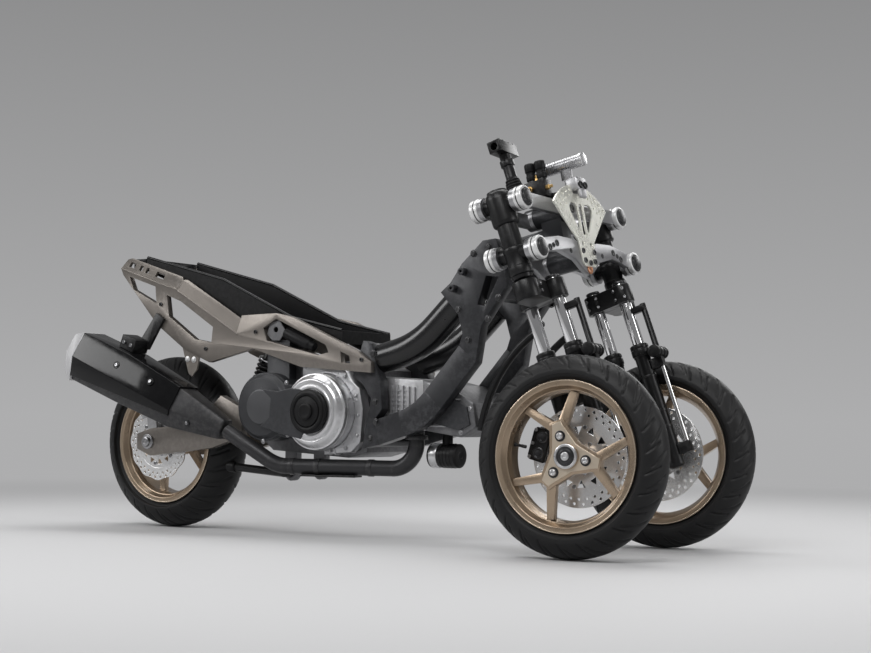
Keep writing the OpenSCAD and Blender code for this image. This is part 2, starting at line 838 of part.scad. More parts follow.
module tail_rail() {
  side_plate(tail_y, tail_t) tail_outline();
  tail_band(tail_bands[0], [[24, 26], [72, 14], [102, 14], [150, 40]]);
  tail_band(tail_bands[1], []);
}

module tail_rail_right() {
  color([0.5, 0.47, 0.43]) placed() tail_rail();
}

module tail_rail_left() {
  color([0.5, 0.47, 0.43]) placed() mirror([0, 1, 0]) tail_rail();
}

// Cross pieces between the rails: the rack plate at the tip and the shock's beam
module tail_bridge() {
  inner = tail_y - tail_t - seat;
  foot = [-1791, 838];
  color([0.3, 0.29, 0.28]) placed() {
    both() translate([foot[0], -inner, foot[1]]) cube([18, inner - tray_half + 8, 10]);
    both() translate([foot[0], -tray_half - 2, foot[1]]) cube([18, 8, rack_z - foot[1] - 4]);
    difference() {
      translate([rack_x - 30, -tray_half - 2, rack_z - 14]) cube([60, 2 * tray_half + 4, 14]);
      for (x = [-1, 1], y = [-1, 1])
        translate([rack_x + x * rack_dx / 2, y * rack_dy / 2, rack_z - 20]) cylinder(h = 30, r = rack_hole_r);
    }
    translate([-1305, -inner, 600]) cube([44, 2 * inner, 34]);
    translate([-1290, -tray_half, 633]) cube([29, 2 * tray_half, 17]);
  }
}

// Black tray under the seat, open on top
module seat_tray() {
  half = tray_half;
  wall = 6;
  color([0.06, 0.06, 0.06]) placed() difference() {
    translate([0, half, 0]) rotate([90, 0, 0]) linear_extrude(2 * half)
      polygon([[-1735, 905], [-1390, 816], [-1103, 686], [-900, 640], [-900, 600], [-1240, 640],
        [-1500, 770], [-1735, 860]]);
    translate([0, half - wall, 0]) rotate([90, 0, 0]) linear_extrude(2 * (half - wall))
      polygon([[-1745, 940], [-1390, 860], [-1103, 720], [-900, 660], [-906, 620], [-1230, 656],
        [-1490, 784], [-1745, 872]]);
  }
}

// Engine

// Crankcase with the two lugs that hold the stand
module engine_case() {
  lug_y = 60;
  lug_t = 24;
  color([0.4, 0.4, 0.42]) placed() {
    side_plate(case_y, 2 * case_y)
      polygon([[-1262, 430], [-1262, 330], [-1180, 268], [-880, 250], [-810, 268], [-806, 520],
        [-860, 546], [-1180, 540]]);
    both() side_plate(lug_y + lug_t, lug_t) difference() {
      union() {
        translate([stand_x, stand_z]) circle(r = 24);
        translate([stand_x - 24, stand_z]) square([48, 80]);
      }
      translate([stand_x, stand_z]) circle(r = stand_r + running);
    }
  }
}

// Figure-of-eight drive cover with its round rear lid, cut away round the clutch, and the air duct
module drive_cover() {
  duct_t = frame_y - case_y - 3;
  color([0.13, 0.13, 0.14]) placed() translate([0, -case_y - seat, 0]) rotate([90, 0, 0]) difference() {
    union() {
      linear_extrude(drive_cover_t) {
        translate([drive_x, drive_z]) circle(r = drive_r, $fn = 72);
        polygon([[drive_x, drive_z - 80], [clutch_x, clutch_z - 100], [clutch_x, clutch_z + 70], [drive_x, drive_z + 80]]);
      }
      linear_extrude(duct_t) translate([drive_x - 30, drive_z]) square([90, 210]);
      translate([drive_x, drive_z, drive_cover_t - 1]) cylinder(h = 15, r1 = drive_r - 4, r2 = drive_r - 16);
      translate([drive_x, drive_z, drive_cover_t + 13]) cylinder(h = 6, r = drive_r / 2);
    }
    translate([clutch_x, clutch_z, -1]) cylinder(h = drive_cover_t + 30, r = clutch_r + seat, $fn = 72);
  }
}

// Silver casting round the clutch cover, flush with the frame plates
module clutch_case() {
  color([0.7, 0.7, 0.72]) placed() translate([0, -case_y - seat, 0]) rotate([90, 0, 0])
    linear_extrude(frame_y - case_y - 2 * seat) difference() {
      polygon([[-1035, 545], [-905, 545], [-866, 514], [-850, 490], [-814, 462], [-800, 400], [-808, 300], [-842, 268],
        [-946, 258], [-946, 470], [-1035, 496]]);
      translate([clutch_x, clutch_z]) circle(r = clutch_r + seat, $fn = 72);
    }
}

module clutch_cover() {
  color([0.75, 0.75, 0.77]) placed() translate([clutch_x, -case_y - seat, clutch_z]) rotate([90, 0, 0]) {
    cylinder(h = clutch_t - 18, r = clutch_r, $fn = 72);
    translate([0, 0, clutch_t - 19]) cylinder(h = 19, r1 = clutch_r - 4, r2 = clutch_r - 16, $fn = 72);
  }
}

module clutch_hub() {
  color([0.1, 0.1, 0.1]) placed() translate([clutch_x, -case_y - clutch_t - 2 * seat, clutch_z]) rotate([90, 0, 0]) {
    cylinder(h = hub_cover_t - clutch_t, r = 68);
    translate([0, 0, hub_cover_t - clutch_t - 1]) cylinder(h = 7, r = 46);
    translate([0, 0, hub_cover_t - clutch_t + 5]) cylinder(h = 7, r = 22);
  }
}

// Twin cylinder block leaning forward, and its head on the joint line
head_joint = [[-600, 336], [-610, 488]];
head_nose = [-418, 350];

module cylinders() {
  half = 104;
  color([0.62, 0.62, 0.64]) placed() side_plate(half, 2 * half)
    polygon([[-806 + seat, 350], [-806 + seat, 500], head_joint[1], head_joint[0]]);
}

module cylinder_head() {
  half = 108;
  color([0.3, 0.31, 0.33]) placed() translate([seat, 0, 0]) side_plate(half, 2 * half)
    polygon([head_joint[0], head_joint[1], [-520, 470], [-430, 420], head_nose, [-470, 318]]);
}

module oil_filter() {
  color([0.05, 0.05, 0.05]) placed() translate([-560, -44, 262]) {
    translate([-52, 0, 0]) rotate([0, 90, 0]) cylinder(h = 96, r = 36);
    cylinder(h = 65.6, r = 16);
  }
}

// Stays that curve round behind the front wheels, from the head frame down to the cylinder head
module guard_stays() {
  stay_r = 11;
  stay_y = 96;
  corner = head_nose - [0, front_axle_z];
  guard_r = norm(corner) - stay_r - 2 * seat;
  color([0.07, 0.07, 0.07]) placed() both() translate([0, -stay_y, front_axle_z]) rotate([90, 0, 0])
    rotate_extrude(angle = 49, start = 122) translate([guard_r, 0]) circle(r = stay_r);
}

// Exhaust

// Pipe from under the cylinder head, level below the engine, then up to the muffler
pipe_top = [-645, -84, 337];
pipe_low = 221;
pipe_down_bend = 78;
pipe_up_bend = 140;
pipe_up_deg = 30;
pipe_span = norm([muffler_front[0] - pipe_top[0], -muffler_y - pipe_top[1]]);
pipe_yaw = atan2(-muffler_y - pipe_top[1], muffler_front[0] - pipe_top[0]);
pipe_rise = (muffler_front[1] - pipe_low - pipe_up_bend * (1 - cos(pipe_up_deg))) / sin(pipe_up_deg);
pipe_level = pipe_span - pipe_down_bend - pipe_up_bend * sin(pipe_up_deg) - pipe_rise * cos(pipe_up_deg);
// Angle between the pipe's end and the muffler's axis, and the room its edge needs there
pipe_dir = [cos(pipe_up_deg) * cos(pipe_yaw), cos(pipe_up_deg) * sin(pipe_yaw), sin(pipe_up_deg)];
muffler_dir = [-cos(muffler_deg) * cos(muffler_splay), -cos(muffler_deg) * sin(muffler_splay), sin(muffler_deg)];
pipe_tilt = acos(pipe_dir * muffler_dir);
pipe_room = (pipe_r * sin(pipe_tilt) + seat) / cos(pipe_tilt);

module exhaust_pipe() {
  color([0.16, 0.16, 0.17]) placed() translate(pipe_top) rotate([0, 0, pipe_yaw]) rotate([0, 90, 0])
    run([[pipe_top[2] - pipe_low - pipe_down_bend, 90, pipe_down_bend],
      [pipe_level, pipe_up_deg, pipe_up_bend], [pipe_rise - pipe_room, 0, 0]]) {
      circle(r = pipe_r);
      circle(r = pipe_r + bend_over);
    }
}

// Frame of the muffler: X to the rear along its axis, Y to the right
module muffler_frame() {
  translate([muffler_front[0], -muffler_y, muffler_front[1]])
    rotate([0, 0, 180 + muffler_splay]) rotate([0, -muffler_deg, 0]) children();
}

// Six-sided section of the muffler: place along it, half widths low, middle and high, then heights of the three
muffler_stations = [
  [0, 24, 32, 22, -32, 0, 32],
  [190, 44, 62, 40, -66, -8, 66],
  [430, 46, 68, 42, -72, 2, 88],
  [muffler_l - 50, 46, 66, 42, -72, 8, 86]
];
cap_station = [muffler_l, 36, 52, 34, -54, 8, 70];
cover_t = 6;

module muffler_ring(k, grow, shift = 0) {
  translate([k[0] + shift, 0, 0]) cross_plate(1)
    polygon([[-k[1] - grow, k[4] - grow], [k[1] + grow, k[4] - grow], [k[2] + grow, k[5]], [k[3] + grow, k[6] + grow],
      [-k[3] - grow, k[6] + grow], [-k[2] - grow, k[5]]]);
}

module muffler_shape(grow, first) {
  hull() for (i = [first : 3]) muffler_ring(muffler_stations[i], grow);
}

module muffler_body() {
  color([0.3, 0.3, 0.32]) placed() muffler_frame() muffler_shape(0, 0);
}

// Gloss cover over the top and the upper flanks
module muffler_cover() {
  drop = 4;
  color([0.06, 0.06, 0.06]) placed() muffler_frame() difference() {
    muffler_shape(cover_t, 1);
    muffler_shape(seat, 0);
    translate([0, -150, -14]) rotate([0, drop, 0]) translate([-100, 0, -300]) cube([muffler_l + 200, 300, 300]);
  }
}

module muffler_cap() {
  color([0.72, 0.72, 0.73]) placed() muffler_frame() hull() {
    muffler_ring(muffler_stations[3], cover_t, 1 + seat);
    muffler_ring(cap_station, 0, -1);
  }
}

// Bracket from the tail rail to the muffler
module muffler_hanger() {
  color([0.08, 0.08, 0.08]) placed() {
    muffler_frame() translate([444, -52, muffler_stations[2][6] + cover_t + seat]) cube([62, 70, 44]);
    side_plate(tail_y + seat + 12, 12) polygon([[-1712, 612], [-1668, 590], [-1600, 690], [-1632, 712]]);
  }
}

// Rear suspension

module swingarm() {
  color([0.45, 0.43, 0.4]) placed() {
    both() side_plate(swing_y + swing_t, swing_t)
      polygon([[-1290, 400], [-1290, 310], [-1420, 270], [10 - wheelbase, rear_axle_z - 46.5],
        [-50 - wheelbase, rear_axle_z - 24.5], [-50 - wheelbase, rear_axle_z + 25.5],
        [10 - wheelbase, rear_axle_z + 43.5], [-1480, 350], [-1380, 440]]);
    translate([-1400, -swing_y - 1, 330]) cube([90, 2 * swing_y + 2, 70]);
    translate([-wheelbase, swing_y + 1, rear_axle_z]) rotate([90, 0, 0]) cylinder(h = 2 * swing_y + 2, r = axle_r);
  }
}

module rear_shock() {
  eye_r = 18;
  low = [-1352, 0, 400 + eye_r + seat];
  high = [-1285, 0, 600 - eye_r - seat];
  color([0.3, 0.3, 0.3]) placed() {
    bar(low, high, 24);
    for (p = [low, high]) translate(p + [0, 20, 0]) rotate([90, 0, 0]) cylinder(h = 40, r = eye_r);
  }
}

module rear_caliper() {
  reach = rear_disc_od / 2;
  inner = rear_disc_in - 22;
  color([0.55, 0.55, 0.56]) placed() translate([-wheelbase, 0, rear_axle_z]) rotate([90, 0, 0])
    rotate(100) difference() {
      union() {
        translate([reach - 46, -44, inner]) cube([56, 88, swing_y - 3 - inner]);
        translate([24, -20, rear_disc_in + 10]) cube([reach - 40, 40, swing_y - seat - rear_disc_in - 10]);
      }
      translate([0, 0, rear_disc_in - disc_t - 2]) cylinder(h = disc_t + 4, r = reach + 3);
    }
}

module centre_stand() {
  half = 120;
  fold = 4;
  color([0.07, 0.07, 0.07]) placed() translate([stand_x, 0, stand_z]) {
    rotate([90, 0, 0]) translate([0, 0, -half]) cylinder(h = 2 * half, r = stand_r);
    both() translate([0, -half + stand_r + 1, 0]) rotate([0, fold - 90, 0]) cylinder(h = stand_l, r = stand_r + 1);
  }
}

// Steering stem with its handlebar clamp
module steering_stem() {
  color([0.07, 0.07, 0.07]) placed() stem_frame()
    rotate([0, 0, steer_rest]) difference() {
      union() {
        translate([0, 0, -bearing_h + 5]) cylinder(h = stem_l + bearing_h - 4, r = stem_r);
        translate([0, 0, sweep]) cylinder(h = 30, r1 = stem_r + 12, r2 = stem_r + 2);
        translate([-20, -clamp_l / 2, stem_l - 14]) cube([40, clamp_l, 36]);
      }
      translate([0, -clamp_l, stem_l + 4]) rotate([-90, 0, 0]) cylinder(h = 2 * clamp_l, r = bar_r);
    }
}

// Lock pump on the right flank of the nose
module hydraulic_unit() {
  block = [64, 46, 50];
  color([0.09, 0.09, 0.09]) placed() link_frame(upper_pivot_z) translate([-30, -24 - seat - block[1], 44]) {
    cube(block);
    for (x = [16, 50]) translate([x, block[1] / 2, block[2] - 1]) cylinder(h = 58, r = 13);
  }
}

module lock_cylinder() {
  lift = lock_disc_r + 22 + seat;
  color([0.78, 0.78, 0.8]) placed() link_frame(lower_pivot_z) {
    translate([-20, 0, lift + 46]) rotate([0, 90, 0]) cylinder(h = 132, r = 17);
    translate([40, -8, lift]) cube([30, 16, 40]);
  }
}

// Draws everything, or the one node that is asked for

tyre_front_right();
tyre_front_left();
tyre_rear();
rim_front_right();
rim_front_left();
rim_rear();
disc_front_right();
disc_front_left();
disc_rear();
fork_crown_right();
fork_crown_left();
fork_tubes_right();
fork_tubes_left();
fork_lower_right();
fork_lower_left();
caliper_front_right();
caliper_front_left();
fork_lock_right();
fork_lock_left();
upper_arms();
lower_arms();
pivot_pins();
side_heads();
lock_disc();
lock_caliper();
head_frame();
bodywork_bosses();
main_tubes();
lower_beams();
pivot_plates();
tail_rail_right();
tail_rail_left();
tail_bridge();
seat_tray();
engine_case();
drive_cover();
clutch_case();
clutch_cover();
clutch_hub();
cylinders();
cylinder_head();
oil_filter();
guard_stays();
exhaust_pipe();
muffler_body();
muffler_cover();
muffler_cap();
muffler_hanger();
swingarm();
rear_shock();
rear_caliper();
centre_stand();
steering_stem();
hydraulic_unit();
lock_cylinder();
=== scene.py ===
"""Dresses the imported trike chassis: finishes, softened edges, tread, discs, fasteners and a stage."""
import json
import math

import bmesh
import bpy
from bpy.props import FloatProperty, FloatVectorProperty, IntProperty, PointerProperty
from bpy.types import Operator, Panel, PropertyGroup
from mathutils import Matrix, Vector


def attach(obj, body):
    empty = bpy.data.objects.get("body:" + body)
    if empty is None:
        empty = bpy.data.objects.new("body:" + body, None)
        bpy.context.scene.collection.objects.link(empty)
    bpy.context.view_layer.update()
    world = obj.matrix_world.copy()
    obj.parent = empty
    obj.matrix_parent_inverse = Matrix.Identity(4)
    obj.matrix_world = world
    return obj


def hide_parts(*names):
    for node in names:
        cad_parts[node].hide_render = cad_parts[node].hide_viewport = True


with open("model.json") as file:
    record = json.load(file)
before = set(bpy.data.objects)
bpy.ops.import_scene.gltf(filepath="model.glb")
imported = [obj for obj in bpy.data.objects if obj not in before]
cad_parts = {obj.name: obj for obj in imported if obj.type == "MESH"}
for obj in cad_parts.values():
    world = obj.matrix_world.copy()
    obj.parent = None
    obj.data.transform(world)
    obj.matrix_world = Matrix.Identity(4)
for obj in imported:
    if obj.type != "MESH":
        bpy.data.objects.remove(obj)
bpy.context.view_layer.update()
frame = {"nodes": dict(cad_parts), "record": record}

bl_info = {
    "name": "Trike chassis dressing",
    "version": (1, 0, 0),
    "blender": (4, 5, 0),
    "location": "3D View > Sidebar > Trike",
    "description": "Builds the finishes, fasteners and trim of the leaning trike around its packed solids",
    "category": "Object",
}

NODES = frame["nodes"]
BODY_OF = {n: b for b, members in frame["record"]["behaviour"]["bodies"].items() for n in members}
MM = 0.001

# Layout values of the solids, in millimetres, counted from the front axle
AXLE_TO_MIDDLE = 856.6
WHEELBASE = 1700.0
HALF_TRACK = 275.0
RAKE = math.radians(20.0)
AXIS_LEAD = 18.0
STEER_REST = math.radians(5.8)
FRONT_AXLE_Z = 274.5
REAR_AXLE_Z = 286.5
LINK_PITCH = math.radians(12.0)
UPPER_Z = 969.0
LOWER_Z = 828.0
ARM_REACH = 66.0
RIGHT, LEFT = -1, 1
SIDES = ((RIGHT, "right"), (LEFT, "left"))


# Frames of the solids, as matrices in millimetres

def move(x, y, z):
    return Matrix.Translation((x, y, z))


def turn(axis, radians):
    return Matrix.Rotation(radians, 4, axis)


HERE = Matrix.Identity(4)
TO_X = turn("Y", math.pi / 2)
TO_BACK = turn("Y", -math.pi / 2)


def axis_x(z):
    """Station of the steering axis at a height."""
    return AXIS_LEAD - (z - FRONT_AXLE_Z) * math.tan(RAKE)


def head_side_frame(side, steer=0.0):
    """Z up the steering axis, Y inboard."""
    m = move(AXIS_LEAD, side * HALF_TRACK, FRONT_AXLE_Z) @ turn("Y", -RAKE) @ turn("Z", steer)
    return m @ Matrix.Scale(-1, 4, (0, 1, 0)) if side == LEFT else m


def fork_frame(side):
    """Z up the steering axis, Y inboard, turned as parked."""
    return head_side_frame(side, STEER_REST)


def front_wheel_frame(side):
    """Z along the axle, outboard."""
    return fork_frame(side) @ turn("Y", RAKE) @ move(-AXIS_LEAD, 0, 0) @ turn("X", math.pi / 2)


def rear_wheel_frame():
    """Z to the right."""
    return move(-WHEELBASE, 0, REAR_AXLE_Z) @ turn("X", math.pi / 2)


def link_frame(z):
    """X along the pivots to the front, Y left."""
    return move(axis_x(z), 0, z) @ turn("Y", -LINK_PITCH)


def side_frame(y, side=RIGHT):
    """Plane of a side view, y out from the middle: 2-D Y is the height, Z points out.

    On the right 2-D X is the station, and on the left the station with its sign changed.
    """
    m = move(0, side * y, 0) @ turn("X", math.pi / 2)
    return m @ turn("Y", math.pi) if side == LEFT else m


# Mesh tools

# Angles, in degrees, above which an edge stays sharp
CAST_SHARP, LATHE_SHARP, PLATE_SHARP, BOX_SHARP = 40, 32, 35, 40


def finished_object(name, mesh, matrix, look, body, replaced=()):
    """Places a mesh drawn in millimetres, gives it its finish and hands it to its body."""
    mesh.transform(Matrix.Scale(MM, 4) @ move(AXLE_TO_MIDDLE, 0, 0) @ matrix)
    if matrix.determinant() < 0:
        mesh.flip_normals()
    shown_piece(name, mesh, look, body, replaced)


def shown_piece(name, mesh, look, body, replaced=()):
    """Shows a mesh in metres with its finish, riding on its body."""
    mesh.materials.clear()
    mesh.materials.append(finish(look))
    piece = bpy.data.objects.new(name, mesh)
    bpy.context.scene.collection.objects.link(piece)
    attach(piece, body)
    if replaced:
        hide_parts(*replaced)


def smooth_by_angle(mesh, degrees):
    mesh.shade_smooth()
    mesh.set_sharp_from_angle(angle=math.radians(degrees))


def mesh_from_bmesh(name, bm, degrees):
    mesh = bpy.data.meshes.new(name)
    bm.normal_update()
    bm.to_mesh(mesh)
    bm.free()
    smooth_by_angle(mesh, degrees)
    return mesh


def modified_mesh(helper):
    """Mesh of a helper object after its modifiers; the helper is removed."""
    bpy.context.view_layer.update()
    evaluated = helper.evaluated_get(bpy.context.evaluated_depsgraph_get())
    mesh = bpy.data.meshes.new_from_object(evaluated)
    bpy.data.objects.remove(helper)
    return mesh


# Softened nodes: weld distance in metres, angles of flat joins and of hard edges, steps of the rounding
WELD, FLAT_DEG, HARD_DEG, EDGE_STEPS = 2e-5, 0.6, 28, 2


def softened(node, width, look):
    """A copy of a node with its hard edges rounded off, shown in the node's place."""
    mesh = NODES[node].data.copy()
    bm = bmesh.new()
    bm.from_mesh(mesh)
    bmesh.ops.remove_doubles(bm, verts=bm.verts, dist=WELD)
    bmesh.ops.dissolve_limit(bm, angle_limit=math.radians(FLAT_DEG), verts=bm.verts, edges=bm.edges)
    bm.to_mesh(mesh)
    bm.free()
    helper = bpy.data.objects.new("edge_helper", mesh)
    bpy.context.scene.collection.objects.link(helper)
    edge = helper.modifiers.new("Edge", "BEVEL")
    edge.width = width * MM
    edge.segments = EDGE_STEPS
    edge.limit_method = "ANGLE"
    edge.angle_limit = math.radians(HARD_DEG)
    edge.use_clamp_overlap = True
    mesh = modified_mesh(helper)
    smooth_by_angle(mesh, CAST_SHARP)
    shown_piece(node + "_shown", mesh, look, BODY_OF[node], [node])


def plate(name, outlines, thickness, edge, matrix, look, body, replaced=()):
    """A flat plate with rounded edges, from Z 0 up: the first outline is its rim, the others its holes."""
    curve = bpy.data.curves.new(name, "CURVE")
    curve.dimensions = "2D"
    curve.fill_mode = "BOTH"
    curve.extrude = thickness / 2 - edge
    curve.bevel_depth = edge
    curve.bevel_resolution = 1
    curve.offset = -edge
    for points in outlines:
        spline = curve.splines.new("POLY")
        spline.points.add(len(points) - 1)
        for p, (x, y) in zip(spline.points, points):
            p.co = (x, y, 0, 1)
        spline.use_cyclic_u = True
    helper = bpy.data.objects.new(name, curve)
    bpy.context.scene.collection.objects.link(helper)
    mesh = modified_mesh(helper)
    smooth_by_angle(mesh, PLATE_SHARP)
    finished_object(name, mesh, matrix @ move(0, 0, thickness / 2), look, body, replaced)


def polar(r, degrees):
    return r * math.cos(math.radians(degrees)), r * math.sin(math.radians(degrees))


def circle(r, n=48, cx=0.0, cy=0.0, start=0.0):
    """Outline of n points round (cx, cy), the first one at start degrees."""
    spokes = [polar(r, start + 360 * i / n) for i in range(n)]
    return [(cx + x, cy + y) for x, y in spokes]


def lathe_into(bm, profile, matrix, segments):
    """Turns a profile of (radius, height) round Z; radii of 0 close the ends."""
    rings = []
    for r, z in profile:
        if r == 0:
            rings.append([bm.verts.new(matrix @ Vector((0, 0, z)))])
            continue
        spokes = [polar(r, 360 * i / segments) for i in range(segments)]
        rings.append([bm.verts.new(matrix @ Vector((x, y, z))) for x, y in spokes])
    for low, high in zip(rings, rings[1:]):
        for i in range(segments):
            j = (i + 1) % segments
            loop = [low[i % len(low)], low[j % len(low)], high[j % len(high)], high[i % len(high)]]
            corners = list(dict.fromkeys(loop))
            if len(corners) > 2:
                bm.faces.new(corners)


def rounded(profile, r):
    """Rounds the inner corners of a lathe profile by about r."""
    out = [profile[0]]
    for a, b, c in zip(profile, profile[1:], profile[2:]):
        corner = Vector(b)
        back, on = Vector(a) - corner, Vector(c) - corner
        if abs(back.normalized().dot(on.normalized())) > 0.99:
            out.append(b)
            continue
        start = corner + back.normalized() * min(r, back.length * 0.45)
        end = corner + on.normalized() * min(r, on.length * 0.45)
        middle = (3 * start + 3 * end + 2 * corner) / 8
        out += [tuple(start), tuple(middle), tuple(end)]
    out.append(profile[-1])
    return out


def turned(name, jobs, look, body, segments=36, replaced=(), degrees=LATHE_SHARP):
    """Lathe pieces in one object: jobs are (matrix, profile) with Z as the axis."""
    bm = bmesh.new()
    for matrix, profile in jobs:
        lathe_into(bm, profile, matrix, segments)
    bmesh.ops.recalc_face_normals(bm, faces=bm.faces)
    finished_object(name, mesh_from_bmesh(name, bm, degrees), HERE, look, body, replaced)


def boxes(name, parts, look, body, replaced=()):
    """Boxes in one object: parts are (size, matrix, edge), and an edge of 0 stays sharp."""
    bm = bmesh.new()
    for size, matrix, edge in parts:
        box = bmesh.new()
        bmesh.ops.create_cube(box, size=1.0, matrix=Matrix.Diagonal((*size, 1.0)))
        if edge:
            bmesh.ops.bevel(box, geom=list(box.edges), offset=edge, segments=3, profile=0.5, affect="EDGES",
                            clamp_overlap=True)
        bmesh.ops.transform(box, matrix=matrix, verts=box.verts)
        scratch = bpy.data.meshes.new("box")
        box.to_mesh(scratch)
        box.free()
        bm.from_mesh(scratch)
        bpy.data.meshes.remove(scratch)
    finished_object(name, mesh_from_bmesh(name, bm, BOX_SHARP), HERE, look, body, replaced)


def aim(start, direction):
    """Matrix with its origin at start and Z along a direction."""
    z = Vector(direction).normalized()
    return move(*start) @ z.to_track_quat("Z", "Y").to_matrix().to_4x4()


def on_face(points, z):
    """Bolt places at 2-D points of a face at height z, with their heads up."""
    return [((x, y, z), (0, 0, 1)) for x, y in points]


def bolts(name, places, look, body, r, h, socket, matrix):
    """Heads on (point, direction) places: cap screws with a socket, or hexagons on their washers."""
    bm = bmesh.new()
    for point, direction in places:
        at = aim(point, direction)
        if socket:
            well = h * 0.45
            head = [(r, -0.6), (r, h * 0.82), (r * 0.86, h), (r * 0.55, h), (r * 0.5, well), (0, well)]
            lathe_into(bm, head, at, 12)
        else:
            washer = [(r * 1.35, -0.6), (r * 1.35, h * 0.22), (r * 1.2, h * 0.3), (r, h * 0.3)]
            lathe_into(bm, washer, at, 18)
            lathe_into(bm, [(r, h * 0.25), (r, h * 0.9), (r * 0.84, h), (0, h)], at, 6)
    finished_object(name, mesh_from_bmesh(name, bm, LATHE_SHARP), matrix, look, body)


def tube_into(bm, points, r, segments):
    """Round tube along points, smoothed by a Catmull-Rom curve."""
    pts = [Vector(p) for p in points]
    fine = []
    ext = [2 * pts[0] - pts[1]] + pts + [2 * pts[-1] - pts[-2]]
    for a, b, c, d in zip(ext, ext[1:], ext[2:], ext[3:]):
        steps = max(2, int((c - b).length / max(r * 1.2, 4)))
        for i in range(steps):
            t = i / steps
            square, cube = 2 * a - 5 * b + 4 * c - d, 3 * b - a - 3 * c + d
            fine.append(0.5 * (2 * b + (c - a) * t + square * t ** 2 + cube * t ** 3))
    fine.append(pts[-1])
    side = (fine[1] - fine[0]).normalized().orthogonal().normalized()
    rings = []
    for i, p in enumerate(fine):
        along = (fine[min(i + 1, len(fine) - 1)] - fine[max(i - 1, 0)]).normalized()
        side = (side - along * side.dot(along)).normalized()
        up = along.cross(side)
        rings.append([bm.verts.new(p + side * x + up * y) for x, y in circle(r, segments)])
    for low, high in zip(rings, rings[1:]):
        for k in range(segments):
            n = (k + 1) % segments
            bm.faces.new([low[k], low[n], high[n], high[k]])
    bm.faces.new(list(reversed(rings[0])))
    bm.faces.new(rings[-1])


def tubes(name, paths, r, segments, degrees, look, body):
    """Round tubes along paths in one object."""
    bm = bmesh.new()
    for path in paths:
        tube_into(bm, path, r, segments)
    bmesh.ops.recalc_face_normals(bm, faces=bm.faces)
    finished_object(name, mesh_from_bmesh(name, bm, degrees), HERE, look, body)


# Finishes

def group(name, inputs, outputs):
    """An empty shader node group with named sockets."""
    tree = bpy.data.node_groups.new(name, "ShaderNodeTree")
    for label, default in inputs:
        socket = tree.interface.new_socket(label, in_out="INPUT", socket_type="NodeSocketFloat")
        socket.default_value = default
    for label in outputs:
        tree.interface.new_socket(label, in_out="OUTPUT", socket_type="NodeSocketFloat")
    return tree, tree.nodes.new("NodeGroupInput"), tree.nodes.new("NodeGroupOutput")


def value_node(tree, operation, a, b, clamp=False):
    """A Math node; a and b are sockets or numbers."""
    node = tree.nodes.new("ShaderNodeMath")
    node.operation = operation
    node.use_clamp = clamp
    for socket, v in zip(node.inputs, (a, b)):
        if isinstance(v, (int, float)):
            socket.default_value = v
        else:
            tree.links.new(v, socket)
    return node.outputs[0]


def times(tree, a, b, clamp=False):
    return value_node(tree, "MULTIPLY", a, b, clamp)


def past(tree, a, level):
    """How far a value lies above a level."""
    return value_node(tree, "SUBTRACT", a, level)


def object_vector(tree):
    return tree.nodes.new("ShaderNodeTexCoord").outputs["Object"]


def noise_node(tree, scale, detail, rough):
    """Noise over the object, with its scale from a socket."""
    node = tree.nodes.new("ShaderNodeTexNoise")
    node.inputs["Detail"].default_value = detail
    node.inputs["Roughness"].default_value = rough
    tree.links.new(object_vector(tree), node.inputs["Vector"])
    tree.links.new(scale, node.inputs["Scale"])
    return node.outputs["Fac"]


def grain_group():
    """Fine grain and broad clouding: Fine and Broad from 0 to 1, Height for bump."""
    inputs = [("Scale", 400.0), ("Broad Scale", 9.0)]
    tree, given, made = group("Surface grain", inputs, ["Fine", "Broad", "Height"])
    fine = noise_node(tree, given.outputs["Scale"], 2.0, 0.5)
    broad = noise_node(tree, given.outputs["Broad Scale"], 4.0, 0.6)
    tree.links.new(fine, made.inputs["Fine"])
    tree.links.new(broad, made.inputs["Broad"])
    height = value_node(tree, "ADD", times(tree, fine, 0.8), times(tree, broad, 0.2))
    tree.links.new(height, made.inputs["Height"])
    return tree


def wear_group():
    """Mask of rubbed convex edges, broken up by noise."""
    tree, given, made = group("Edge wear", [("Amount", 0.5), ("Scale", 60.0)], ["Mask"])
    pointed = tree.nodes.new("ShaderNodeNewGeometry").outputs["Pointiness"]
    convex = times(tree, past(tree, pointed, 0.51), 9.0, True)
    broken = noise_node(tree, given.outputs["Scale"], 4.0, 0.65)
    cut = times(tree, past(tree, broken, 0.42), 5.0, True)
    mask = times(tree, times(tree, convex, cut), given.outputs["Amount"], True)
    tree.links.new(mask, made.inputs["Mask"])
    return tree


def dust_group():
    """Mask of settled dust: faces that look up, and patches."""
    tree, given, made = group("Settled dust", [("Amount", 0.2), ("Scale", 14.0)], ["Mask"])
    split = tree.nodes.new("ShaderNodeSeparateXYZ")
    tree.links.new(tree.nodes.new("ShaderNodeNewGeometry").outputs["Normal"], split.inputs[0])
    up = value_node(tree, "ADD", times(tree, split.outputs["Z"], 0.5), 0.35, True)
    patch = value_node(tree, "POWER", noise_node(tree, given.outputs["Scale"], 5.0, 0.6), 2.0)
    mask = times(tree, times(tree, up, patch), given.outputs["Amount"], True)
    tree.links.new(mask, made.inputs["Mask"])
    return tree


GROUP_MAKERS = {"grain": grain_group, "wear": wear_group, "dust": dust_group}
GROUPS = {}
FINISHES = {}
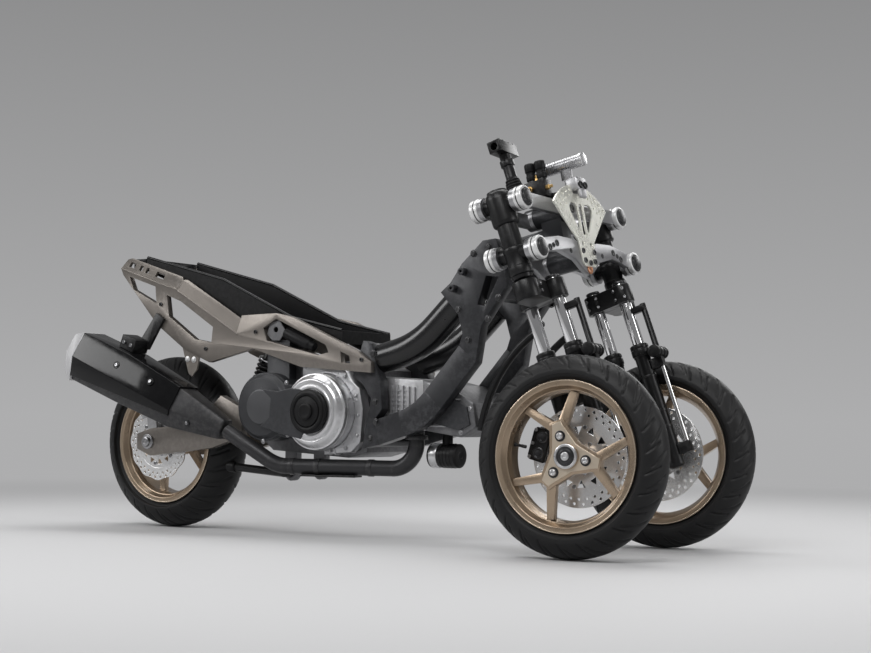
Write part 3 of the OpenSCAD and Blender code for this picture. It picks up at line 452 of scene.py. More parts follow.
# Finish: colour, roughness, metal share, grain scale, bump, edge wear, wear colour, coat, dust
FINISH_TABLE = {
    "tyre_rubber": ((0.009, 0.009, 0.0095), 0.5, 0.0, 700, 0.08, 0.06, (0.04, 0.04, 0.04), 0.0, 0.04),
    "bronze": ((0.37, 0.285, 0.205), 0.3, 0.82, 1500, 0.02, 0.25, (0.7, 0.58, 0.46), 0.2, 0.02),
    "lip_bronze": ((0.72, 0.6, 0.47), 0.22, 0.9, 1500, 0.0, 0.0, (0.8, 0.7, 0.6), 0.2, 0.0),
    "hub_bronze": ((0.62, 0.53, 0.42), 0.34, 0.75, 1500, 0.02, 0.2, (0.8, 0.7, 0.6), 0.1, 0.02),
    "polished_steel": ((0.9, 0.9, 0.9), 0.24, 0.8, 1400, 0.0, 0.0, (0.9, 0.9, 0.9), 0.0, 0.0),
    "lock_steel": ((0.86, 0.85, 0.77), 0.28, 0.75, 1200, 0.0, 0.1, (0.95, 0.94, 0.88), 0.0, 0.0),
    "chrome": ((0.86, 0.86, 0.88), 0.09, 1.0, 900, 0.0, 0.0, (1, 1, 1), 0.0, 0.0),
    "satin_black": ((0.007, 0.007, 0.0075), 0.34, 0.2, 900, 0.05, 0.3, (0.1, 0.1, 0.1), 0.0, 0.03),
    "black_plastic": ((0.006, 0.006, 0.0065), 0.42, 0.0, 1100, 0.1, 0.12, (0.05, 0.05, 0.05), 0.0, 0.03),
    "gloss_black": ((0.004, 0.004, 0.0045), 0.12, 0.0, 60, 0.0, 0.08, (0.06, 0.06, 0.06), 0.0, 0.01),
    "cap_silver": ((0.62, 0.62, 0.63), 0.42, 0.25, 900, 0.03, 0.2, (0.8, 0.8, 0.81), 0.0, 0.03),
    "tube_black": ((0.004, 0.004, 0.0045), 0.23, 0.1, 60, 0.0, 0.05, (0.05, 0.05, 0.05), 0.0, 0.01),
    "frame_grey": ((0.026, 0.0265, 0.029), 0.36, 0.35, 620, 0.1, 0.4, (0.16, 0.16, 0.17), 0.0, 0.03),
    "cover_dark": ((0.03, 0.031, 0.034), 0.44, 0.3, 600, 0.12, 0.3, (0.16, 0.16, 0.17), 0.0, 0.06),
    "cover_lid": ((0.06, 0.061, 0.065), 0.4, 0.35, 700, 0.08, 0.2, (0.2, 0.2, 0.2), 0.0, 0.05),
    "silver_cast": ((0.42, 0.42, 0.43), 0.4, 0.9, 420, 0.22, 0.3, (0.75, 0.75, 0.76), 0.0, 0.06),
    "silver_satin": ((0.6, 0.6, 0.61), 0.3, 0.95, 1300, 0.05, 0.2, (0.85, 0.85, 0.86), 0.0, 0.03),
    "arm_silver": ((0.34, 0.34, 0.35), 0.34, 0.9, 600, 0.14, 0.4, (0.7, 0.7, 0.7), 0.0, 0.04),
    "ring_white": ((0.66, 0.66, 0.66), 0.34, 0.4, 1200, 0.0, 0.1, (0.8, 0.8, 0.8), 0.0, 0.02),
    "titanium": ((0.19, 0.172, 0.155), 0.4, 0.75, 800, 0.09, 0.3, (0.45, 0.42, 0.39), 0.0, 0.05),
    "engine_grey": ((0.12, 0.12, 0.125), 0.46, 0.6, 380, 0.26, 0.35, (0.4, 0.4, 0.41), 0.0, 0.08),
    "exhaust_grey": ((0.032, 0.032, 0.034), 0.38, 0.5, 700, 0.08, 0.3, (0.25, 0.24, 0.23), 0.0, 0.06),
    "dark_steel": ((0.05, 0.05, 0.052), 0.3, 0.85, 900, 0.04, 0.3, (0.4, 0.4, 0.4), 0.0, 0.03),
    "bolt_steel": ((0.32, 0.32, 0.33), 0.3, 1.0, 900, 0.04, 0.3, (0.7, 0.7, 0.7), 0.0, 0.03),
    "brass": ((0.55, 0.36, 0.14), 0.3, 1.0, 900, 0.04, 0.3, (0.8, 0.6, 0.3), 0.0, 0.03),
    "copper_plug": ((0.42, 0.2, 0.11), 0.35, 0.9, 900, 0.05, 0.3, (0.7, 0.4, 0.25), 0.0, 0.03),
}
DUST_COLOUR = (0.3, 0.28, 0.26)
# Specular level of the finishes that shine less than most
USUAL_SPECULAR = 0.5
SPECULAR = {
    "black_plastic": 0.16, "satin_black": 0.3, "gloss_black": 0.22, "frame_grey": 0.35, "cover_dark": 0.35,
    "tyre_rubber": 0.25, "exhaust_grey": 0.35,
}
# Scales of the clouding, the wear and the dust, and how far clouding changes a colour
CLOUD_SCALE, WEAR_SCALE, DUST_SCALE = 11.0, 70.0, 16.0
CLOUD_SHADE = 0.18
# What clouding, grain and dust add to the roughness
CLOUD_ROUGH, GRAIN_ROUGH, DUST_ROUGH = 0.22, 0.12, 0.4
# Bump strength of a finish's bump value, and the height of the grain in metres
BUMP_GAIN, GRAIN_HEIGHT = 3, 0.0006


def mixed(tree, mask, a, b):
    """Colour mix of two sockets or colours by a mask."""
    node = tree.nodes.new("ShaderNodeMix")
    node.data_type = "RGBA"
    tree.links.new(mask, node.inputs["Factor"])
    ends = [s for s in node.inputs if s.type == "RGBA"]
    for socket, v in zip(ends, (a, b)):
        if isinstance(v, tuple):
            socket.default_value = (*v, 1.0)
        else:
            tree.links.new(v, socket)
    return [s for s in node.outputs if s.type == "RGBA"][0]


def use_group(tree, name, **values):
    """Places a shared node group, made once, with its own values."""
    if name not in GROUPS:
        GROUPS[name] = GROUP_MAKERS[name]()
    node = tree.nodes.new("ShaderNodeGroup")
    node.node_tree = GROUPS[name]
    for label, v in values.items():
        node.inputs[label.replace("_", " ")].default_value = v
    return node.outputs


def finish(name):
    """The named finish, made once."""
    if name in FINISHES:
        return FINISHES[name]
    colour, rough, metal, grain_scale, bump, wear, wear_colour, coat, dust = FINISH_TABLE[name]
    material = bpy.data.materials.new(name)
    material.use_nodes = True
    material.diffuse_color = (*colour, 1.0)
    tree = material.node_tree
    shader = tree.nodes["Principled BSDF"]
    grain = use_group(tree, "grain", Scale=grain_scale, Broad_Scale=CLOUD_SCALE)
    rubbed = use_group(tree, "wear", Amount=wear, Scale=WEAR_SCALE)["Mask"]
    settled = use_group(tree, "dust", Amount=dust, Scale=DUST_SCALE)["Mask"]
    dark = tuple(c * (1 - CLOUD_SHADE) for c in colour)
    light = tuple(min(c * (1 + CLOUD_SHADE), 1) for c in colour)
    shade = mixed(tree, grain["Broad"], dark, light)
    shade = mixed(tree, rubbed, shade, wear_colour)
    shade = mixed(tree, settled, shade, DUST_COLOUR)
    tree.links.new(shade, shader.inputs["Base Color"])
    spread = times(tree, past(tree, grain["Broad"], 0.5), CLOUD_ROUGH)
    fine = times(tree, past(tree, grain["Fine"], 0.5), GRAIN_ROUGH)
    bare = value_node(tree, "ADD", value_node(tree, "ADD", spread, fine), rough, True)
    dusty = value_node(tree, "ADD", bare, times(tree, settled, DUST_ROUGH), True)
    tree.links.new(dusty, shader.inputs["Roughness"])
    lift = tree.nodes.new("ShaderNodeBump")
    lift.inputs["Strength"].default_value = bump * BUMP_GAIN
    lift.inputs["Distance"].default_value = GRAIN_HEIGHT
    tree.links.new(grain["Height"], lift.inputs["Height"])
    tree.links.new(lift.outputs[0], shader.inputs["Normal"])
    shader.inputs["Metallic"].default_value = metal
    shader.inputs["Coat Weight"].default_value = coat
    shader.inputs["Specular IOR Level"].default_value = SPECULAR.get(name, USUAL_SPECULAR)
    FINISHES[name] = material
    return material


# Settings that a user would change

USUAL_EDGE = 2.4 * MM


class TrikeSettings(PropertyGroup):
    """Sizes and colours of the dressing."""
    tread_depth: FloatProperty(
        name="Tread depth", description="Depth of the tyre grooves", default=3.2 * MM, min=0.0, max=6.0 * MM,
        precision=4, unit="LENGTH")
    tread_pitches: IntProperty(
        name="Tread pitches", description="Groove groups round a tyre", default=26, min=12, max=40)
    edge_width: FloatProperty(
        name="Edge rounding", description="Usual rounding of cast edges", default=USUAL_EDGE, min=0.4 * MM,
        max=5.0 * MM, precision=4, unit="LENGTH")
    floor_colour: FloatVectorProperty(
        name="Floor", description="Colour of the floor", subtype="COLOR", size=3, default=(0.52, 0.52, 0.525),
        min=0, max=1)
    sky_colour: FloatVectorProperty(
        name="Backdrop", description="Colour behind the object", subtype="COLOR", size=3,
        default=(0.42, 0.42, 0.425), min=0, max=1)
    lamp_power: FloatProperty(
        name="Lamp power", description="Share of the studio lamps' power", default=1.0, min=0.1, max=3.0,
        subtype="FACTOR")


def settings():
    return bpy.context.scene.trike_settings


# Finish and edge rounding of the plain nodes; a rounding of 0 leaves the solid itself to be seen
PLAIN_LOOKS = (
    ("bronze", 3.0, "rim_front_right rim_front_left rim_rear"),
    ("chrome", 1.0, "fork_tubes_right fork_tubes_left"),
    ("satin_black", 3.0, "fork_crown_right fork_crown_left"),
    ("satin_black", 2.0, "fork_lower_right fork_lower_left side_heads muffler_hanger oil_filter"),
    ("satin_black", 2.0, "hydraulic_unit steering_stem"),
    ("satin_black", 1.6, "fork_lock_right fork_lock_left"),
    ("satin_black", 1.5, "rear_shock"),
    ("satin_black", 1.0, "centre_stand"),
    ("satin_black", 0.0, "guard_stays"),
    ("arm_silver", 2.4, "upper_arms lower_arms"),
    ("dark_steel", 1.4, "pivot_pins"),
    ("frame_grey", 3.0, "lower_beams pivot_plates"),
    ("frame_grey", 2.6, "head_frame"),
    ("frame_grey", 1.0, "bodywork_bosses"),
    ("tube_black", 0.0, "main_tubes"),
    ("titanium", 2.4, "tail_rail_right tail_rail_left"),
    ("titanium", 3.0, "swingarm"),
    ("black_plastic", 1.6, "tail_bridge"),
    ("black_plastic", 1.4, "clutch_hub"),
    ("black_plastic", 0.0, "seat_tray"),
    ("engine_grey", 4.0, "engine_case cylinder_head"),
    ("cover_dark", 3.0, "drive_cover"),
    ("silver_cast", 3.0, "clutch_case cylinders"),
    ("silver_cast", 2.4, "rear_caliper"),
    ("silver_satin", 2.4, "clutch_cover"),
    ("silver_satin", 1.6, "lock_cylinder"),
    ("exhaust_grey", 5.0, "muffler_body"),
    ("exhaust_grey", 0.0, "exhaust_pipe"),
    ("gloss_black", 1.4, "muffler_cover"),
    ("cap_silver", 3.0, "muffler_cap"),
)


class TRIKE_OT_plain(Operator):
    """Gives each plain node its finish, with its hard edges rounded"""
    bl_idname = "trike.plain"
    bl_label = "Plain nodes"

    def execute(self, context):
        scale = settings().edge_width / USUAL_EDGE
        for look, width, nodes in PLAIN_LOOKS:
            for node in nodes.split():
                if width:
                    softened(node, width * scale, look)
                else:
                    data = NODES[node].data
                    data.materials.clear()
                    data.materials.append(finish(look))
        return {"FINISHED"}


# Wheels: tyre as outer diameter, width and rim width; disc as outer diameter, ring, Z of its inner face
# in the wheel frame and waves on its edge; Z of the hub's face
FRONT_WHEEL = {"tyre": (549.0, 120.0, 104.0), "disc": (276.0, 42.0, -54.0, 0), "hub_face": 42.0}
REAR_WHEEL = {"tyre": (573.0, 160.0, 132.0), "disc": (260.0, 42.0, 85.0, 12), "hub_face": 96.0}
WHEELS = (
    ("front_right", front_wheel_frame(RIGHT), "wheel_right", FRONT_WHEEL),
    ("front_left", front_wheel_frame(LEFT), "wheel_left", FRONT_WHEEL),
    ("rear", rear_wheel_frame(), "wheel_rear", REAR_WHEEL),
)

# Tread grooves: shift in pitches, slope, ends as shares of the half width, and half width in pitches
GROOVES = ((0.0, 1.15, 0.10, 0.80, 0.085), (0.5, 0.8, 0.36, 0.97, 0.07))
GROOVE_WALL, GROOVE_RUNOUT = 0.03, 0.05
PITCH_STEPS, CROWN_STEPS, TREAD_SHARP = 24, 44, 38
# Lower flank: radius, and place out from the bead
FLANK = ((190.9, -0.4), (199.0, -0.2), (206.0, -0.1), (208.5, 1.4), (213.0, 5.8), (214.2, 7.6), (216.4, 8.6))
SHOULDER_R, SHOULDER_IN = 220.5, 1.6
CROWN_OVER, CROWN_IN, FLANGE_T = 2.0, 0.4, 7.2


def groove_depth(t, across, half):
    """Share of the full depth at t pitches round and a place across the tread from -half to half."""
    u = abs(across) / half
    side_shift = 0.5 if across > 0 else 0.0
    depth = 0.0
    for shift, slope, inner, outer, width in GROOVES:
        if not inner < u < outer:
            continue
        phase = (t + side_shift + shift + slope * u) % 1.0
        gap = min(phase, 1.0 - phase)
        end = min(1.0, (u - inner) / GROOVE_RUNOUT, (outer - u) / GROOVE_RUNOUT)
        wall = max(0.0, min(1.0, (width - gap) / GROOVE_WALL))
        depth = max(depth, wall * end)
    return depth


def tyre_mesh(name, od, w, rim_w, pitches, depth):
    """A round, grooved crown on stepped flanks."""
    crown = w / 2 + CROWN_OVER
    middle = od / 2 - crown
    bead = rim_w / 2 - FLANGE_T
    limit = math.asin((w / 2 - CROWN_IN) / crown)
    flank = [(r, bead + out) for r, out in FLANK] + [(SHOULDER_R, w / 2 - SHOULDER_IN)]
    profile = [(r, y, None) for r, y in flank]
    for i in range(CROWN_STEPS + 1):
        a = limit * (1 - 2 * i / CROWN_STEPS)
        profile.append((middle + crown * math.cos(a), crown * math.sin(a), a))
    profile += [(r, -y, None) for r, y in reversed(flank)]
    steps = pitches * PITCH_STEPS
    bm = bmesh.new()
    rings = []
    for i in range(steps):
        ring = []
        for r, y, a in profile:
            if a is not None:
                cut = depth * groove_depth(i / PITCH_STEPS, crown * a, crown * limit)
                r, y = r - cut * math.cos(a), y - cut * math.sin(a)
            ring.append(bm.verts.new((*polar(r, 360 * i / steps), y)))
        rings.append(ring)
    for i in range(steps):
        low, high = rings[i], rings[(i + 1) % steps]
        for k in range(len(profile)):
            n = (k + 1) % len(profile)
            bm.faces.new([low[k], low[n], high[n], high[k]])
    bmesh.ops.recalc_face_normals(bm, faces=bm.faces)
    return mesh_from_bmesh(name, bm, TREAD_SHARP)


class TRIKE_OT_tyres(Operator):
    """Tyres with grooved tread and stepped flanks"""
    bl_idname = "trike.tyres"
    bl_label = "Tyres"

    def execute(self, context):
        pitches, depth = settings().tread_pitches, settings().tread_depth / MM
        for wheel, where, body, sizes in WHEELS:
            name = "tyre_%s_tread" % wheel
            mesh = tyre_mesh(name, *sizes["tyre"], pitches, depth)
            finished_object(name, mesh, where, "tyre_rubber", body, ["tyre_" + wheel])
        return {"FINISHED"}


# Brake discs: thicknesses, hub bore, depth of the rear one's waves, and rows of holes as radius in from the
# edge, size and shift in degrees
RING_T, CARRIER_T, CARRIER_IN = 5.0, 4.4, 0.3
HUB_R, WAVE_H = 36.0, 2.4
HOLE_ROWS = ((11, 4.2, 0.0), (24, 3.8, 6.0))
HOLES_A_ROW = 30
# Float buttons: how far in from the swept ring, and radius of the hub's row
BUTTON_IN, HUB_BUTTON_R = 14, 45.0


def disc_outlines(od, ring, waves):
    """Swept ring with two rows of holes, and a wavy edge where waves isn't 0."""
    outer = od / 2
    points = 180
    rim = []
    for i in range(points):
        a = 2 * math.pi * i / points
        dip = WAVE_H * (1 - math.cos(waves * a))
        rim.append(polar(outer - 0.3 - dip, 360 * i / points))
    holes = [circle(outer - ring, 96)]
    for inward, size, shift in HOLE_ROWS:
        spots = [polar(outer - inward, 360 / HOLES_A_ROW * i + shift) for i in range(HOLES_A_ROW)]
        holes += [circle(size, 12, *spot) for spot in spots]
    return [rim] + holes


def carrier_outlines(inner):
    """Carrier between the hub and the swept ring: a disc with twelve three-cornered windows."""
    holes = [circle(HUB_R + 0.4, 48)]
    for i in range(12):
        a = 30 * i + 5
        holes.append(circle(14.0 if i % 2 else 12.0, 3, *polar(inner - 20, a), a + 180 * (i % 2)))
    return [circle(inner + 5, 96)] + holes


class TRIKE_OT_discs(Operator):
    """Perforated brake discs on their carriers, with their float buttons"""
    bl_idname = "trike.discs"
    bl_label = "Brake discs"

    def execute(self, context):
        for wheel, frame_at, body, sizes in WHEELS:
            od, ring, z, waves = sizes["disc"]
            inner = od / 2 - ring
            node = "disc_" + wheel
            where = frame_at @ move(0, 0, z)
            plate(node + "_ring", disc_outlines(od, ring, waves), RING_T, 0.5, where,
                  "polished_steel", body, [node])
            plate(node + "_carrier", carrier_outlines(inner), CARRIER_T, 0.6, where @ move(0, 0, CARRIER_IN),
                  "polished_steel", body)
            places = []
            for i in range(6):
                for x, y in (polar(inner - BUTTON_IN, 60 * i + 20), polar(HUB_BUTTON_R, 60 * i + 50)):
                    places += [((x, y, CARRIER_IN + CARRIER_T), (0, 0, 1)), ((x, y, CARRIER_IN), (0, 0, -1))]
            bolts(node + "_buttons", places, "bolt_steel", body, 6.0, 2.4, True, where)
        return {"FINISHED"}


# Front calipers: angle round the axle, and size, place and edge of both halves, the bridge and the bracket
CALIPER_DEG = 165
CALIPER_BOXES = (((50, 96, 15), (117, 0, -64), 6), ((50, 92, 13), (117, 0, -38.4), 6),
                 ((10, 74, 36), (141, 0, -51.5), 4), ((92, 32, 9), (87, 0, -69), 3))


class TRIKE_OT_calipers(Operator):
    """Front calipers with two halves, a bridge, piston covers and their bracket"""
    bl_idname = "trike.calipers"
    bl_label = "Front calipers"

    def execute(self, context):
        cap = rounded([(18, -3), (18, 3), (15, 4.6), (11, 4.6), (10, 2.4), (0, 2.4)], 0.8)
        for side, label in SIDES:
            body = "fork_" + label
            at = front_wheel_frame(side) @ turn("Z", math.radians(CALIPER_DEG))
            parts = [(size, at @ move(*place), edge) for size, place, edge in CALIPER_BOXES]
            boxes("caliper_front_%s_shown" % label, parts,
                  "satin_black", body, ["caliper_front_" + label])
            turned("caliper_caps_" + label, [(at @ move(114, y, -32.4), cap) for y in (-23, 23)],
                   "dark_steel", body, 32)
            bolts("caliper_bolts_" + label, on_face([(137, y) for y in (-38, 0, 38)], -31.9),
                  "bolt_steel", body, 5.0, 4.0, True, at)
        return {"FINISHED"}


# Rims: half width in front, flange radius, inside radius, the valve's place; the three arms' angles
# and bolts, and the hub face's radius between them
FRONT_RIM_HALF = 52.0
RIM_LIP_R, RIM_INNER_R, VALVE_Z, VALVE_DEG = 204.5, 171.5, 6.0, 170
ARM_ANGLES = (110, 230, 350)
ARM_BOLT_R, WAIST_R = 57.0, 43.0
# Segments of a rim, and the angle above which its edges stay sharp
RIM_ROUND, RIM_SHARP = 128, 24
# Front rim's band as (radius, Z): the outer half down to the well, and the inner half with its signs changed
BAND_OUT = ((204.3, 52.25), (200.5, 52.6), (190, 52.6), (188, 51.6), (179.6, 35.5), (177.4, 35.2),
            (176.4, 33.2), (176.8, 32.6), (171, 19.4))
BAND_IN = ((171, 19.4), (188, 51.6), (190, 52.6), (200.5, 52.6), (204.3, 52.25))
# Face of a front hub: its back and thickness
HUB_FACE_Z, HUB_FACE_T = 35.2, 2.4


class TRIKE_OT_hubs(Operator):
    """Hub caps with their seals and nuts, the rims' bands and lips, and valves"""
    bl_idname = "trike.hubs"
    bl_label = "Wheel hubs"

    def execute(self, context):
        for wheel, where, body, sizes in WHEELS:
            face = where @ move(0, 0, sizes["hub_face"])
            half = sizes["tyre"][2] / 2
            ring = rounded([(26, -1), (34, -1), (34, 4), (31, 5.4), (27, 5.4), (26, 3)], 0.8)
            nut = rounded([(12, 6), (11, 8.6), (5, 9.4), (4.4, 7.4), (0, 7.4)], 0.6)
            turned("hub_ring_" + wheel, [(face, ring), (face, nut)], "silver_satin", body, 48)
            cap = rounded([(27, 1), (26, 3.4), (20, 3.4), (18.4, 6), (12, 6.4)], 0.6)
            turned("hub_cap_" + wheel, [(face, cap)], "dark_steel", body, 48)
            wider = half - FRONT_RIM_HALF
            band = [(r, z + wider) for r, z in BAND_OUT] + [(r, -z - wider) for r, z in BAND_IN]
            turned("rim_band_" + wheel, [(where, rounded(band, 0.6))], "bronze", body,
                   RIM_ROUND, degrees=RIM_SHARP)
            lip = rounded([(RIM_LIP_R - 3.6, half - 0.2), (RIM_LIP_R - 2.8, half + 0.7),
                           (RIM_LIP_R - 0.6, half + 0.5), (RIM_LIP_R + 0.1, half - 0.9)], 0.3)
            turned("rim_lips_" + wheel, [(where, lip), (where @ turn("X", math.pi), lip)],
                   "lip_bronze", body, RIM_ROUND)
            stem = where @ turn("Z", math.radians(VALVE_DEG)) @ move(RIM_INNER_R + 1, 0, VALVE_Z) @ TO_BACK
            valve = rounded([(6, 0), (6, 5), (4, 8), (4, 22), (4.8, 23), (4.8, 36), (0, 37)], 0.5)
            turned("valve_" + wheel, [(stem, valve)], "satin_black", body, 16)
            if sizes is FRONT_WHEEL:
                self.front_face(wheel, where, body)
        return {"FINISHED"}

    def front_face(self, wheel, where, body):
        """Pale three-armed face of a front hub with its bolts in cups."""
        outline = []
        for a in ARM_ANGLES:
            spin = Matrix.Rotation(math.radians(a), 2)
            outline += [tuple(spin @ Vector(q)) for q in ((80, -17), (95, -13), (95, 13), (80, 17))]
            outline.append(polar(WAIST_R, a + 60))
        plate("hub_face_" + wheel, [outline], HUB_FACE_T, 1.0, where @ move(0, 0, HUB_FACE_Z),
              "hub_bronze", body)
        seats = [where @ move(*polar(ARM_BOLT_R, a), HUB_FACE_Z + HUB_FACE_T) for a in ARM_ANGLES]
        cup = [(15, -0.4), (15, 1.2), (13.4, 1.6), (12, 0.4), (0, 0.4)]
        bolt = rounded([(10, 0), (10, 6), (8, 8.5), (4.6, 9), (4.2, 6), (0, 6)], 0.8)
        turned("hub_cups_" + wheel, [(s, cup) for s in seats], "dark_steel", body, 32)
        turned("hub_bolts_" + wheel, [(s, bolt) for s in seats], "silver_satin", body, 24)


# Heights along the steering axis and places of a fork's legs
HEAD_TOP = (UPPER_Z - FRONT_AXLE_Z) / math.cos(RAKE) + 38
LEG_HALF, LEG_IN, SLIDER_TOP, CROWN_BOTTOM, CROWN_TOP = 44.0, 97.0, 316.0, 452.0, 506.0
BAND_HEIGHTS = (60, 110, 215)
LOCK_AHEAD = LEG_HALF + 51
LOCK_Z, LOCK_BANDS = 280, (-39, -18, 8, 28)


def raised(profile, z):
    """A lathe profile moved up by z."""
    return [(r, h + z) for r, h in profile]


class TRIKE_OT_forks(Operator):
    """Seals, caps, crown bolts, slide locks and the domed covers of the side head tubes"""
    bl_idname = "trike.forks"
    bl_label = "Fork trim"

    def execute(self, context):
        seal = rounded(raised([(24.6, -30), (27.6, -28), (27.6, -12), (26.2, -10), (27.2, -8), (27.2, 2),
                               (22, 5), (18.4, 5)], SLIDER_TOP), 1.0)
        bands = [rounded(raised([(22.6, 0), (24.4, 1), (24.4, 9), (22.6, 10)], z), 0.8) for z in BAND_HEIGHTS]
        foot = rounded([(23.4, -44), (23.4, -52), (17, -57), (0, -57)], 1.2)
        plug = rounded(raised([(18.5, 4), (20.5, 6), (20.5, 12), (12, 14), (11, 11), (0, 11)],
                              CROWN_TOP), 1.0)
        dome = rounded(raised([(29.4, -104), (36, -101), (38, -94), (38, -24), (34.5, -10), (26, -1),
                               (13, 3.5), (0, 4)], HEAD_TOP), 3.0)
        sleeve = rounded([(29.3, 524), (34, 526), (34, 548), (31.5, 552), (31.5, 590), (33.5, 592),
                          (33.5, 604), (29.3, 606)], 1.2)
        lock_band = rounded([(17.2, 0), (18.6, 1), (18.6, 10), (17.2, 11)], 0.8)
        for side, label in SIDES:
            body = "fork_" + label
            fork = fork_frame(side)
            head = head_side_frame(side)
            legs = [fork @ move(x, LEG_IN, 0) for x in (-LEG_HALF, LEG_HALF)]
            turned("fork_seals_" + label, [(leg, p) for leg in legs for p in (seal, foot, *bands)],
                   "satin_black", body)
            turned("fork_plugs_" + label, [(leg, plug) for leg in legs], "dark_steel", body)
            turned("head_dome_" + label, [(head, dome), (head, sleeve)],
                   "satin_black", "chassis", 48)
            bolts("crown_bolts_" + label, self.crown_places(),
                  "bolt_steel", body, 4.6, 5.0, True, fork)
            lock = fork @ move(LOCK_AHEAD, LEG_IN, 0)
            turned("lock_rod_" + label, [(lock, [(6.4, 8), (6.4, 236)])], "chrome", body, 20)
            clamp = ((64, 24, 20), fork @ move(68, LEG_IN, CROWN_BOTTOM - 32), 5)
            boxes("lock_clamp_" + label, [clamp], "satin_black", body)
            across = turn("X", -math.pi / 2)
            ends = [(lock @ move(0, y, LOCK_Z) @ across, lock_band) for y in LOCK_BANDS]
            turned("lock_bands_" + label, ends, "black_plastic", body)
        return {"FINISHED"}

    def crown_places(self):
        """Clamp bolts of the crown: round the front of both legs, and on both sides of the spigot."""
        places = []
        for x in (-LEG_HALF, LEG_HALF):
            for z in (CROWN_BOTTOM + 14, CROWN_BOTTOM + 40):
                places += [((x + s * 14, LEG_IN + 25.5, z), (s * 0.45, 0.9, 0)) for s in (1, -1)]
        for z in (CROWN_BOTTOM + 18, CROWN_BOTTOM + 38):
            places += [((s * 34, 20, z), (s, 0, 0)) for s in (1, -1)]
        return places


# Lock disc: radius and half angle of its fan, thickness, and rows of holes as radius, size and angles
FAN_R, FAN_DEG, FAN_T = 211.5, 46, 6.0
FAN_ROWS = ((199, 4.2, range(-42, 43, 7)), (183, 3.8, range(-39, 40, 7)),
            (168, 3.4, (-42, -35, -28, 28, 35, 42)))
# Half of the rim from the fan down to the foot, and half widths of the notch for the lock's caliper
FAN_FOOT = ((46, 42), (42, 16), (40, -20), (30, -33))
FAN_NOTCH = ((35, 206), (30, 184))
# Slots on the middle and on one side, and bolts
MIDDLE_SLOT = ((-10, 62), (-10, 148), (-5, 154), (5, 154), (10, 148), (10, 62))
SIDE_SLOT = ((24, 66), (18, 72), (20, 146), (28, 154), (52, 156), (66, 142), (62, 124))
FAN_BOLTS = ((-28, -16), (28, -16), (-32, 12), (32, 12), (0, -22))
# Dark discs painted as the shade inside each well of the lower arms: place out from the middle, height and
# radius
ARM_WELL_SHADES = ((206, 8, 8.5), (186, 16, 6), (164, 24, 8.5), (92, 8, 6))
ARM_FACE = ARM_REACH + 8
# Plug of the lower arms and pump on the upper ones; the lock caliper's place ahead of the pivot, heights of
# the lock's pieces, and number and pitch of its fins
PLUG_Z, PUMP_AT = -40, (-30, -70.2, 44)
CALIPER_AHEAD, CALIPER_Z, PAD_Z, PISTON_Z = ARM_REACH + 12, 211, 186, 206
CYLINDER_Z, FIN_COUNT, FIN_PITCH = 280.2, 20, 6


def fan_outlines():
    """Rim of the lock disc, its three slots and its rows of holes."""
    fan = [polar(FAN_R, 90 - a) for a in range(-FAN_DEG, FAN_DEG + 1, 2)]
    notch_x = FAN_NOTCH[0][0] + 1
    rim = [p for p in fan if p[0] < -notch_x]
    rim += [(-x, y) for x, y in FAN_NOTCH] + list(reversed(FAN_NOTCH))
    rim += [p for p in fan if p[0] > notch_x]
    rim += list(FAN_FOOT) + [(-x, y) for x, y in reversed(FAN_FOOT)]
    holes = [MIDDLE_SLOT, SIDE_SLOT, [(-x, y) for x, y in SIDE_SLOT]]
    for r, size, angles in FAN_ROWS:
        spots = [polar(r, 90 - a) for a in angles]
        holes += [circle(size, 10, x, y) for x, y in spots if not (abs(x) < 46 and y > 172)]
    holes += [circle(7, 16, x, 34) for x in (-24, 24)]
    return [rim] + holes


